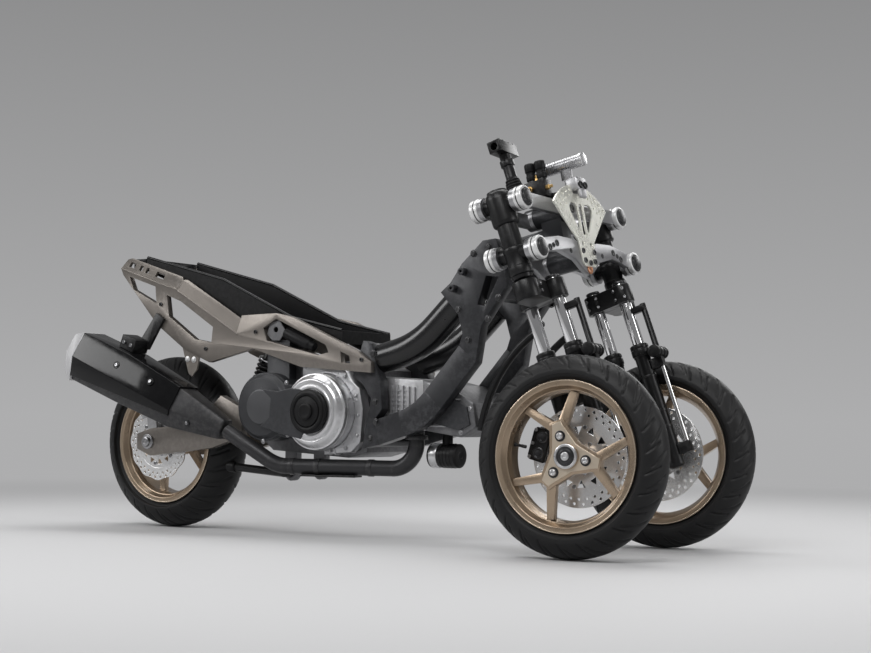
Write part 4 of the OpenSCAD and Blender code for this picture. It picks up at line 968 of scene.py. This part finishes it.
class TRIKE_OT_linkage(Operator):
    """Pale boss rings with dark bands painted as the shade in their grooves, dark pin caps, dark discs
    painted as the shade inside each arm well, the slotted lock disc and the trim of the lock unit
    """
    bl_idname = "trike.linkage"
    bl_label = "Leaning linkage"

    def execute(self, context):
        self.bosses()
        low = link_frame(LOWER_Z)
        # Satin black discs raised on the arms' faces: painted shade standing in for the shade inside each
        # well
        well_shade_discs = []
        for y, z, r in ARM_WELL_SHADES:
            well = [(r + 1.4, -0.4), (r + 1.4, 0.7), (r * 0.7, 1.0), (r * 0.6, 0.5), (0, 0.5)]
            ends = [low @ move(0, s * y, z) @ end for s in (-1, 1) for end in (TO_X, TO_BACK)]
            well_shade_discs += [(at, raised(well, ARM_FACE)) for at in ends]
        turned("arm_well_painted_shade", well_shade_discs, "satin_black", "chassis", 24)
        plug = rounded(raised([(14, -1), (14, 2.5), (11, 4), (9, 2), (0, 2)], ARM_FACE), 0.6)
        turned("arm_plug", [(low @ move(0, 0, PLUG_Z) @ TO_X, plug)],
               "copper_plug", "chassis", 32)
        upright = move(ARM_FACE + 0.2, 0, 0) @ turn("Z", math.pi / 2) @ turn("X", math.pi / 2)
        plate("lock_fan", fan_outlines(), FAN_T, 0.7, low @ upright, "lock_steel", "chassis",
              ["lock_disc"])
        front = ARM_FACE + 0.2 + FAN_T
        bolts("lock_fan_bolts", [((front, y, z), (1, 0, 0)) for y, z in FAN_BOLTS],
              "dark_steel", "chassis", 8.4, 4.0, True, low)
        self.lock_unit(low)
        self.pump()
        return {"FINISHED"}

    def bosses(self):
        """Rings on the outer bosses with a dark band painted as the shade in their grooves, and caps on all
        the pins, at both ends.
        """
        ring = rounded([(31.6, 60), (33.6, 61), (33.6, 69), (32.4, 70), (32.4, 71.4), (33.6, 72.4),
                        (33.6, 84), (32, 86.6), (27, 86.8)], 0.5)
        # Satin black band laid over the notch of each ring: painted shade standing in for the shade of the
        # ring's grooves
        groove_shade = rounded([(33.0, 68.8), (33.9, 69.2), (33.9, 72.2), (33.0, 72.6)], 0.2)
        cap = rounded([(13, 60), (27.2, 85.6), (27.2, 88.4), (25.6, 90), (20.4, 90), (19.4, 88), (11.4, 88),
                       (10.4, 91.6), (4.4, 92), (4, 90), (0, 90)], 0.6)
        flush = rounded([(13, 40), (13.4, 74.6), (12, 75.4), (7, 75.4), (6, 73), (0, 73)], 0.5)
        outer, middle = [], []
        for z in (UPPER_Z, LOWER_Z):
            for end in (TO_X, TO_BACK):
                outer += [link_frame(z) @ move(0, y, 0) @ end for y in (-HALF_TRACK, HALF_TRACK)]
                middle.append(link_frame(z) @ end)
        # Painted shade: dark bands over the rings' grooves
        turned("ring_groove_painted_shade", [(at, groove_shade) for at in outer], "satin_black", "chassis", 48)
        turned("boss_rings", [(at, ring) for at in outer], "ring_white", "chassis", 48)
        caps = [(at, cap) for at in outer] + [(at, flush) for at in middle]
        turned("pin_caps", caps, "dark_steel", "chassis", 32, ["pivot_pins"])

    def lock_unit(self, low):
        """Caliper on the lock disc with its pistons, and the finned cylinder above it."""
        at = low @ move(CALIPER_AHEAD, 0, 0)
        body = ((44, 52, 40), at @ move(0, 0, CALIPER_Z), 7)
        pads = [((13, 38, 34), at @ move(x, 0, PAD_Z), 5) for x in (15.4, -14.4)]
        boxes("lock_caliper_shown", [body, *pads], "silver_cast", "chassis", ["lock_caliper"])
        piston = rounded([(11, 20), (11, 25), (8.5, 26.5), (7, 24), (0, 24)], 0.6)
        turned("lock_pistons", [(at @ move(0, y, PISTON_Z) @ TO_X, piston) for y in (-13, 13)],
               "satin_black", "chassis", 24)
        fins = [(17.2, -20)]
        for i in range(FIN_COUNT):
            fins += raised([(17.2, 0), (19.2, 0.6), (19.2, 3.0), (17.2, 3.6)], FIN_PITCH * i - 16)
        fins += [(17.2, 108), (20, 109), (20, 118), (14, 120), (0, 120)]
        turned("lock_cylinder_fins", [(low @ move(0, 0, CYLINDER_Z) @ TO_X, fins)],
               "silver_satin", "chassis", 32)

    def pump(self):
        """Caps and brass fittings of the lock's pump."""
        up = link_frame(UPPER_Z) @ move(*PUMP_AT)
        top = rounded([(14, 8), (15.5, 9), (15.5, 24), (14, 25), (14, 34), (16.5, 35), (16.5, 56), (14, 60),
                       (5, 60), (4, 58), (0, 58)], 1.0)
        turned("pump_caps", [(up @ move(x, 23, 49), top) for x in (16, 50)], "black_plastic", "chassis",
               28)
        upper = rounded([(8, 0), (8, 12), (5.5, 13), (5.5, 22), (0, 22)], 0.6)
        front = rounded([(8, -2), (8, 8), (5, 9), (5, 18), (0, 18)], 0.6)
        right = rounded([(9, -3), (9, 6), (6, 7), (6, 14), (0, 14)], 0.6)
        fittings = [(up @ move(33, 23, 49), upper), (up @ move(66, 14, 24) @ TO_X, front),
                    (up @ move(20, -2, 28) @ turn("X", math.pi / 2), right)]
        turned("pump_fittings", fittings, "brass", "chassis", 6)


# Engine: centres of the round covers, half widths of the case and the head,
# the plate between the covers with its place out, bolt places, the head's plate and the oil filter's place
CLUTCH, DRIVE = (-948.0, 390.0), (-1150.0, 404.0)
CASE_Y, HEAD_Y = 112.0, 108.0
BRIDGE = ((-1146, 462), (-1080, 452), (-1026, 462), (-986, 458), (-960, 448), (-930, 450), (-900, 432),
          (-880, 398), (-882, 368), (-902, 340), (-930, 326), (-968, 324), (-984, 306), (-1070, 322),
          (-1146, 344), (-1110, 372), (-1104, 430))
BRIDGE_OUT, BRIDGE_T = 92, 16
COVER_BOLTS = ((-1060, 478), (-1052, 318), (-1150, 296))
CASE_BOLTS = ((-1020, 530), (-970, 534), (-915, 530), (-868, 498), (-826, 440), (-818, 380), (-820, 320),
              (-862, 280), (-920, 270))
HEAD_BOLTS = ((-585, 470), (-590, 352), (-520, 455), (-470, 334), (-438, 402))
HEAD_PLATE = ((-572, 360), (-566, 452), (-522, 450), (-448, 408), (-436, 356), (-474, 338))
FILTER_AT = (-612, -44, 262)


class TRIKE_OT_engine(Operator):
    """Rings, bolts, ribs and fins of the engine"""
    bl_idname = "trike.engine"
    bl_label = "Engine trim"

    def execute(self, context):
        out = side_frame(CASE_Y)
        clutch = out @ move(*CLUTCH, 0)
        drive = out @ move(*DRIVE, 0)
        face = rounded([(69, 103.6), (70, 107), (79, 107), (80.5, 105), (91, 105), (92.5, 106.6), (98, 106),
                        (101, 103.4)], 0.6)
        wall = rounded([(116.4, 20), (118.6, 22), (118.6, 34), (116.8, 36), (116.8, 58), (118.2, 60),
                        (118.2, 70), (116.4, 72)], 0.8)
        turned("clutch_rings", [(clutch, face), (clutch, wall)],
               "silver_satin", "chassis", 96)
        lid = rounded([(52, 101.6), (54, 104), (50, 105.2), (0, 105.6)], 0.8)
        lip = rounded([(104, 62), (107.4, 64), (107.4, 72), (105, 76)], 0.8)
        turned("drive_lid", [(drive, lid), (drive, lip)], "cover_lid", "chassis", 72)
        button = rounded([(23, 128), (25, 129.4), (25, 133), (20, 135), (12, 133.4), (0, 133.2)], 0.8)
        collar = rounded([(50, 124), (55, 125.6), (60, 124.6), (62, 121.4)], 0.6)
        turned("clutch_button", [(clutch, button), (clutch, collar)],
               "black_plastic", "chassis", 48)
        plate("cover_bridge", [BRIDGE], BRIDGE_T, 3.0, out @ move(0, 0, BRIDGE_OUT),
              "cover_dark", "chassis")
        for name, points, z in (("cover_bolts", COVER_BOLTS, 84), ("case_bolts", CASE_BOLTS, 38)):
            bolts(name, on_face(points, z), "bolt_steel", "chassis", 5.5, 6, False, out)
        angles = [-70 + 17 * i for i in range(9)]
        boxes("case_ribs", [((22, 4, 26), clutch @ move(*polar(128, a), 26) @ turn("Z", math.radians(a)), 0)
                            for a in angles], "silver_cast", "chassis")
        boxes("engine_ribs", self.ribs(), "silver_cast", "chassis")
        head = side_frame(HEAD_Y)
        bolts("head_bolts", on_face(HEAD_BOLTS, 0), "bolt_steel", "chassis", 6, 6, False, head)
        plate("head_plate", [HEAD_PLATE], 7, 1.6, head @ move(0, 0, -0.4),
              "cover_dark", "chassis")
        can = move(*FILTER_AT) @ TO_X
        band = rounded([(35.6, 4), (37.6, 6), (37.6, 30), (35.8, 32)], 0.8)
        turned("filter_band", [(can, band)], "silver_satin", "chassis")
        end = rounded([(36, 90), (36.2, 97), (30, 99), (12, 99), (10, 97), (0, 97)], 1.2)
        rib = rounded([(36, 0), (37.2, 1), (37.2, 3), (36, 4)], 0.4)
        turned("filter_ribs", [(can, end)] + [(can, raised(rib, z)) for z in (42, 54, 66, 78)],
               "black_plastic", "chassis")
        return {"FINISHED"}

    def ribs(self):
        """Ribs of the cylinders and head on both sides, the block on the right and the case on the left."""
        parts = []
        for s in (-1, 1):
            parts += [((5, 8, 118 - 2 * i), move(-786 + 21 * i, s * 106, 422 - 1.2 * i), 0) for i in range(8)]
            parts += [((120 - 8 * i, 7, 4), move(-530 + 4 * i, s * 110, 350 + 20 * i), 0) for i in range(6)]
        parts += [((99 - 3 * i, 5, 5), move(-700, -105, 372 + 14 * i), 0) for i in range(7)]
        parts += [((330 - 10 * i, 5, 5), move(-1030 + 2 * i, 112.4, 290 + 36 * i), 0) for i in range(7)]
        return parts


# Muffler: its start, its turns, directions of its two sides, the shield's screws as
# place, how far out the head sits and side, and the hanger's bolts
MUFFLER_AT = (-1300, -204, 330)
MUFFLER_OUT, MUFFLER_RISE = math.radians(3), math.radians(21)
UPPER_SIDE, LOWER_SIDE = (0, 0.958, 0.288), (0, 0.958, -0.288)
SHIELD_SCREWS = (((300, 61.5, 48), 0.5, UPPER_SIDE), ((455, 61.5, 47), 0.5, UPPER_SIDE),
                 ((612, 58, -28), 0.4, LOWER_SIDE), ((600, 52, -48), 0.4, LOWER_SIDE),
                 ((120, 45, -24), 0.4, LOWER_SIDE))
HANGER_BOLTS = ((458, 18, 116), (490, 18, 116))
# Pipe: its front end, heights of its lower run and flange, places of the clamps and the guard along the run,
# and the guard's outline
PIPE_FRONT, PIPE_LOW_Z, FLANGE_Z = Vector((-645, -84, 337)), 221, 316
CLAMPS_ALONG, GUARD_ALONG, GUARD_DROP = (150, 330, 420), 290, 30
PIPE_GUARD = ((-95, -26), (80, -26), (98, -12), (98, 14), (80, 26), (-95, 26))


class TRIKE_OT_exhaust(Operator):
    """Shield, bolts and tailpipe of the muffler, clamps and guard of the pipe"""
    bl_idname = "trike.exhaust"
    bl_label = "Exhaust trim"

    def execute(self, context):
        m = move(*MUFFLER_AT) @ turn("Z", math.pi + MUFFLER_OUT) @ turn("Y", -MUFFLER_RISE)
        well = rounded([(12, -3), (12, 1.4), (10.4, 1.8), (9, -1), (0, -1)], 0.4)
        turned("shield_wells", [(m @ aim(p, d), well) for p, _, d in SHIELD_SCREWS],
               "satin_black", "chassis", 24)
        bolts("shield_bolts", [((x, y + out, z), d) for (x, y, z), out, d in SHIELD_SCREWS],
              "bolt_steel", "chassis", 5.5, 4, True, m)
        bolts("hanger_bolts", [(p, (0, 1, 0)) for p in HANGER_BOLTS],
              "bolt_steel", "chassis", 6.5, 5, True, m)
        outlet = [(26, 684), (28, 686), (28, 694), (24, 694), (23, 660), (0, 660)]
        turned("tailpipe", [(m @ move(0, 6, 6) @ TO_X, outlet)], "dark_steel", "chassis")
        heading = (Vector(MUFFLER_AT) - PIPE_FRONT).xy.normalized().to_3d()
        low_start = Vector((*PIPE_FRONT.xy, PIPE_LOW_Z))
        clamp = rounded([(24.2, -9), (26.2, -8), (26.2, 8), (24.2, 9)], 0.6)
        flange = rounded([(24.2, -8), (34, -7), (34, 5), (24.2, 6)], 0.8)
        clamps = [(aim(low_start + heading * along, heading), clamp) for along in CLAMPS_ALONG]
        clamps.append((move(*PIPE_FRONT.xy, FLANGE_Z), flange))
        turned("pipe_clamps", clamps, "exhaust_grey", "chassis")
        middle = low_start + heading * GUARD_ALONG
        under = move(*middle.xy, PIPE_LOW_Z - GUARD_DROP) @ turn("Z", math.atan2(heading.y, heading.x))
        plate("pipe_guard", [PIPE_GUARD], 5, 1.2, under, "satin_black", "chassis")
        return {"FINISHED"}


# Frame and tail: bolt places on the frame's plates and the rails, a tab in the rail's window with its hole,
# the round unit's place and slope, and a bracket with its bolts
FRAME_BOLTS = ((-352, 868), (-404, 852), (-352, 660), (-318, 720), (-420, 600), (-455, 690), (-762, 566),
               (-765, 520), (-752, 420), (-748, 360), (-770, 310))
RAIL_BOLTS = ((-790, 548), (-1420, 590), (-1622, 740), (-1210, 640))
RAIL_TAB = ((-1172, 632), (-1160, 668), (-1122, 676), (-1098, 640), (-1120, 612), (-1150, 612))
TAB_HOLE = (-1136, 646)
DAMPER_AT, DAMPER_DEG = (-1040, 612), -23
RAIL_BRACKET = ((-1544, 622), (-1456, 586), (-1470, 524), (-1492, 500), (-1508, 512))
BRACKET_Y, BRACKET_T = 151, 6
BRACKET_BOLTS = ((-1512, 558), (-1484, 556))
# How far out the frame's plates, the rails' outer and inner faces and the axle's ends lie
PLATE_Y, RAIL_OUT_Y, RAIL_IN_Y, AXLE_END_Y = 150, 170.4, 152, 140
# Upper edge of the tray, and how far out its rim lies
TRAY_TOP = ((-1732, 904), (-1390, 816), (-1103, 686), (-903, 641))
TRAY_EDGE = 123.0
# Shock: ends of its axis, and its spring's turns, steps in a turn, radius, wire and distance from the ends
SHOCK_LOW, SHOCK_HIGH = Vector((-1352, 0, 418.2)), Vector((-1285, 0, 581.8))
COIL_TURNS, COIL_STEPS, COIL_R, COIL_WIRE, COIL_END = 7.5, 14, 31, 5.2, 34
# Stand: its pivot, half width and folded angle
STAND_AT, STAND_HALF, STAND_FOLDED = (-1130, 196), 107, math.radians(-86)


def seen(points, side):
    """Points of the side view as they lie in a side's frame."""
    return [(-side * x, z) for x, z in points]


class TRIKE_OT_frame_trim(Operator):
    """Bolts of the frame, the tail's brackets, the shock's spring and the stand's feet"""
    bl_idname = "trike.frame_trim"
    bl_label = "Frame and tail trim"

    def execute(self, context):
        damper = rounded([(0, -62), (17, -62), (19, -58), (19, 40), (14, 46), (14, 62), (0, 62)], 1.6)
        nut = rounded([(25, -0.6), (25, 4), (23, 5), (17, 5), (16.4, 14), (12, 16), (8, 16), (7, 12),
                       (0, 12)], 0.8)
        nuts = []
        for side, label in SIDES:
            bolts("frame_bolts_" + label, on_face(seen(FRAME_BOLTS, side), 0),
                  "dark_steel", "chassis", 8, 7, False, side_frame(PLATE_Y, side))
            bolts("rail_bolts_" + label, on_face(seen(RAIL_BOLTS, side), 0),
                  "dark_steel", "chassis", 6.5, 5, True, side_frame(RAIL_OUT_Y, side))
            inner = side_frame(RAIL_IN_Y, side) @ move(0, 0, 4)
            tab = [seen(RAIL_TAB, side), circle(9, 18, *seen([TAB_HOLE], side)[0])]
            plate("rail_tab_" + label, tab, 5, 0.8, inner, "engine_grey", "chassis")
            slope = turn("Z", math.radians(-side * DAMPER_DEG))
            along = inner @ move(*seen([DAMPER_AT], side)[0], 0) @ slope @ TO_X
            turned("rail_damper_" + label, [(along, damper)], "black_plastic", "chassis", 28)
            nuts.append((side_frame(AXLE_END_Y, side) @ move(side * WHEELBASE, REAR_AXLE_Z, 0), nut))
        turned("rear_axle_nuts", nuts, "bolt_steel", "chassis", 24)
        plate("rail_bracket", [RAIL_BRACKET], BRACKET_T, 1.0, side_frame(BRACKET_Y),
              "titanium", "chassis")
        head = rounded([(10, -0.6), (10, 2), (6.4, 2.4), (6, 5), (0, 5)], 0.5)
        heads = [(side_frame(BRACKET_Y) @ move(x, z, BRACKET_T), head) for x, z in BRACKET_BOLTS]
        turned("rail_bracket_bolts", heads, "ring_white", "chassis", 24)
        edges = []
        for y in (-TRAY_EDGE, TRAY_EDGE):
            edges += [[(x, y, z) for x, z in ends] for ends in zip(TRAY_TOP, TRAY_TOP[1:])]
        tubes("tray_rim", edges, 5.0, 12, 50, "gloss_black", "chassis")
        self.spring()
        foot = rounded([(13.2, 206), (17, 208), (18, 214), (18, 236), (14, 241), (0, 242)], 1.2)
        x, z = STAND_AT
        legs = [move(x, y, z) @ turn("Y", STAND_FOLDED) for y in (-STAND_HALF, STAND_HALF)]
        turned("stand_feet", [(leg, foot) for leg in legs], "black_plastic", "stand", 24)
        return {"FINISHED"}

    def spring(self):
        """Coil of the shock between its two seats."""
        span = SHOCK_HIGH - SHOCK_LOW
        along, side = span.normalized(), Vector((0, 1, 0))
        front = along.cross(side)
        start, end = COIL_END, span.length - COIL_END
        steps = int(COIL_TURNS * COIL_STEPS)
        coil = []
        for i in range(steps + 1):
            x, y = polar(COIL_R, 360 * i / COIL_STEPS)
            coil.append(SHOCK_LOW + along * (start + (end - start) * i / steps) + side * x + front * y)
        tubes("shock_spring", [coil], COIL_WIRE, 10, 60, "dark_steel", "chassis")
        seat = rounded([(24, -4), (37, -3), (37, 3), (24, 4)], 0.8)
        turned("spring_seats", [(aim(SHOCK_LOW + along * d, along), seat) for d in (start - 8, end + 8)],
               "silver_satin", "chassis")


# Steering stem: its foot, and the boot's folds with their pitch and step inwards
STEM_AT = (-349, 0, 1032)
BOOT_FOLDS, FOLD_PITCH, FOLD_STEP = 5, 9, 2


class TRIKE_OT_stem(Operator):
    """Ribbed boot, collar and clamp bolts of the steering stem"""
    bl_idname = "trike.stem"
    bl_label = "Steering stem trim"

    def execute(self, context):
        m = move(*STEM_AT) @ turn("Y", -RAKE) @ turn("Z", STEER_REST)
        boot = [(28, 9)]
        for i in range(BOOT_FOLDS):
            r, z = 30 - FOLD_STEP * i, 12 + FOLD_PITCH * i
            boot += [(r, z), (r, z + 4), (r - 4, z + 6)]
        boot.append((17.2, 60))
        turned("stem_boot", [(m, rounded(boot, 0.8))], "black_plastic", "steering_column")
        collar = rounded([(17.2, 96), (21, 97), (21, 116), (17.2, 117)], 0.8)
        turned("stem_collar", [(m, collar)], "satin_black", "steering_column")
        bolts("clamp_bolts", on_face([(x, y) for x in (-15, 15) for y in (-46, -20, 20, 46)], 170),
              "dark_steel", "steering_column", 4.4, 5, True, m)
        return {"FINISHED"}


# Stage: share of the backdrop's colour at its top and as light on the object, and how far up it darkens
SKY_TOP, SKY_LIGHT, SKY_RISE = 0.5, 0.5, 0.34
# Floor: radius, and where it starts and ends fading into the backdrop, in metres
FLOOR_R, FADE_START, FADE_END = 40.0, 1.6, 5.2
# Lamps: name, place, target, size in metres and power in watts
LAMPS = (
    ("key", (1.2, -3.2, 3.6), (0.2, 0, 0.5), (3.2, 1.4), 110.0),
    ("over", (-0.3, 0.6, 3.6), (0, 0, 0.4), (4.0, 1.6), 90.0),
    ("front", (4.2, 0.6, 1.8), (0.6, 0, 0.6), (1.2, 2.4), 46.0),
    ("rear", (-2.9, -2.8, 2.3), (-0.6, -0.1, 0.5), (2.6, 1.2), 62.0),
    ("far_side", (0.2, 4.0, 2.4), (0, 0, 0.5), (3.2, 1.2), 46.0),
)
# Camera fitted to the photo: focal length and width in pixels, place in metres and angles
FOCAL_PX, PHOTO_WIDTH_PX, SENSOR_MM = 1649.0, 871.0, 36.0
CAMERA_AT = (3.0616, -4.136, 0.374)
CAMERA_AZ, CAMERA_EL, CAMERA_ROLL = math.radians(34.51), math.radians(-3.18), math.radians(0.59)


def backdrop(tree):
    """Grey that darkens upwards behind the object, and a dimmer even light on it."""
    shown = tree.nodes["Background"]
    split = tree.nodes.new("ShaderNodeSeparateXYZ")
    tree.links.new(tree.nodes.new("ShaderNodeTexCoord").outputs["Generated"], split.inputs[0])
    rise = tree.nodes.new("ShaderNodeMapRange")
    rise.inputs["From Min"].default_value = 0.0
    rise.inputs["From Max"].default_value = SKY_RISE
    tree.links.new(split.outputs["Z"], rise.inputs["Value"])
    low = tuple(settings().sky_colour)
    high = tuple(c * SKY_TOP for c in low)
    tree.links.new(mixed(tree, rise.outputs["Result"], low, high), shown.inputs["Color"])
    light = tree.nodes.new("ShaderNodeBackground")
    light.inputs["Color"].default_value = (*low, 1.0)
    light.inputs["Strength"].default_value = SKY_LIGHT
    seen = tree.nodes.new("ShaderNodeLightPath").outputs["Is Camera Ray"]
    blend_shaders(tree, seen, light, shown, tree.nodes["World Output"])


def blend_shaders(tree, mask, a, b, output):
    """Mixes two shader nodes by a mask into an output's surface."""
    blend = tree.nodes.new("ShaderNodeMixShader")
    tree.links.new(mask, blend.inputs["Fac"])
    tree.links.new(a.outputs[0], blend.inputs[1])
    tree.links.new(b.outputs[0], blend.inputs[2])
    tree.links.new(blend.outputs[0], output.inputs["Surface"])


def floor_paint():
    """Pale floor that fades into the backdrop with the distance from the object."""
    paint = bpy.data.materials.new("floor_paint")
    paint.use_nodes = True
    tree = paint.node_tree
    shader = tree.nodes["Principled BSDF"]
    shader.inputs["Base Color"].default_value = (*settings().floor_colour, 1.0)
    shader.inputs["Roughness"].default_value = 0.75
    glow = tree.nodes.new("ShaderNodeEmission")
    glow.inputs["Color"].default_value = (*settings().sky_colour, 1.0)
    reach = tree.nodes.new("ShaderNodeVectorMath")
    reach.operation = "LENGTH"
    tree.links.new(object_vector(tree), reach.inputs[0])
    fade = tree.nodes.new("ShaderNodeMapRange")
    fade.interpolation_type = "SMOOTHSTEP"
    fade.inputs["From Min"].default_value = FADE_START
    fade.inputs["From Max"].default_value = FADE_END
    tree.links.new(reach.outputs["Value"], fade.inputs["Value"])
    blend_shaders(tree, fade.outputs["Result"], shader, glow, tree.nodes["Material Output"])
    return paint


class TRIKE_OT_stage(Operator):
    """Pale floor, backdrop, soft lamps and the camera"""
    bl_idname = "trike.stage"
    bl_label = "Stage"

    def execute(self, context):
        scene = context.scene
        scene.view_settings.view_transform = "Standard"
        self.floor(scene)
        world = bpy.data.worlds.new("studio")
        scene.world = world
        world.use_nodes = True
        backdrop(world.node_tree)
        for name, place, target, size, power in LAMPS:
            lamp = bpy.data.lights.new(name, "AREA")
            lamp.shape = "RECTANGLE"
            lamp.size, lamp.size_y = size
            lamp.energy = power * settings().lamp_power
            holder = bpy.data.objects.new(name, lamp)
            scene.collection.objects.link(holder)
            holder.location = place
            holder.rotation_euler = (Vector(target) - Vector(place)).to_track_quat("-Z", "Y").to_euler()
        self.camera(scene)
        return {"FINISHED"}

    def floor(self, scene):
        """Round floor just below the tyres."""
        bm = bmesh.new()
        bmesh.ops.create_circle(bm, cap_ends=True, segments=96, radius=FLOOR_R)
        mesh = mesh_from_bmesh("floor", bm, PLATE_SHARP)
        floor = bpy.data.objects.new("floor", mesh)
        scene.collection.objects.link(floor)
        floor.location.z = -MM
        mesh.materials.append(floor_paint())

    def camera(self, scene):
        """Camera with the photo's view."""
        lens = bpy.data.cameras.new("photo_camera")
        lens.sensor_width = SENSOR_MM
        lens.lens = FOCAL_PX * SENSOR_MM / PHOTO_WIDTH_PX
        lens.clip_end = 200.0
        camera = bpy.data.objects.new("photo_camera", lens)
        scene.collection.objects.link(camera)
        flat = math.cos(CAMERA_EL)
        forward = Vector((-math.sin(CAMERA_AZ) * flat, math.cos(CAMERA_AZ) * flat, -math.sin(CAMERA_EL)))
        facing = forward.to_track_quat("-Z", "Y").to_matrix().to_4x4()
        camera.matrix_world = move(*CAMERA_AT) @ facing @ turn("Z", CAMERA_ROLL)
        scene.camera = camera


class TRIKE_PT_panel(Panel):
    """Lists the settings and the steps of the dressing"""
    bl_idname = "TRIKE_PT_panel"
    bl_label = "Trike chassis"
    bl_space_type = "VIEW_3D"
    bl_region_type = "UI"
    bl_category = "Trike"

    def draw(self, context):
        for name in TrikeSettings.__annotations__:
            self.layout.prop(context.scene.trike_settings, name)
        for step in STEPS:
            self.layout.operator(step.bl_idname)


STEPS = (
    TRIKE_OT_stage, TRIKE_OT_plain, TRIKE_OT_tyres, TRIKE_OT_discs, TRIKE_OT_calipers, TRIKE_OT_hubs,
    TRIKE_OT_forks, TRIKE_OT_linkage, TRIKE_OT_engine, TRIKE_OT_exhaust, TRIKE_OT_frame_trim, TRIKE_OT_stem,
)
CLASSES = (TrikeSettings, *STEPS, TRIKE_PT_panel)


def register():
    for c in CLASSES:
        bpy.utils.register_class(c)
    bpy.types.Scene.trike_settings = PointerProperty(type=TrikeSettings)


def unregister():
    del bpy.types.Scene.trike_settings
    for c in reversed(CLASSES):
        bpy.utils.unregister_class(c)


def main():
    register()
    for step in STEPS:
        family, name = step.bl_idname.split(".")
        getattr(getattr(bpy.ops, family), name)()
    for node in NODES.values():
        if not node.hide_render and not node.data.materials:
            raise RuntimeError("no finish for " + node.name)


if __name__ == "__main__":
    main()
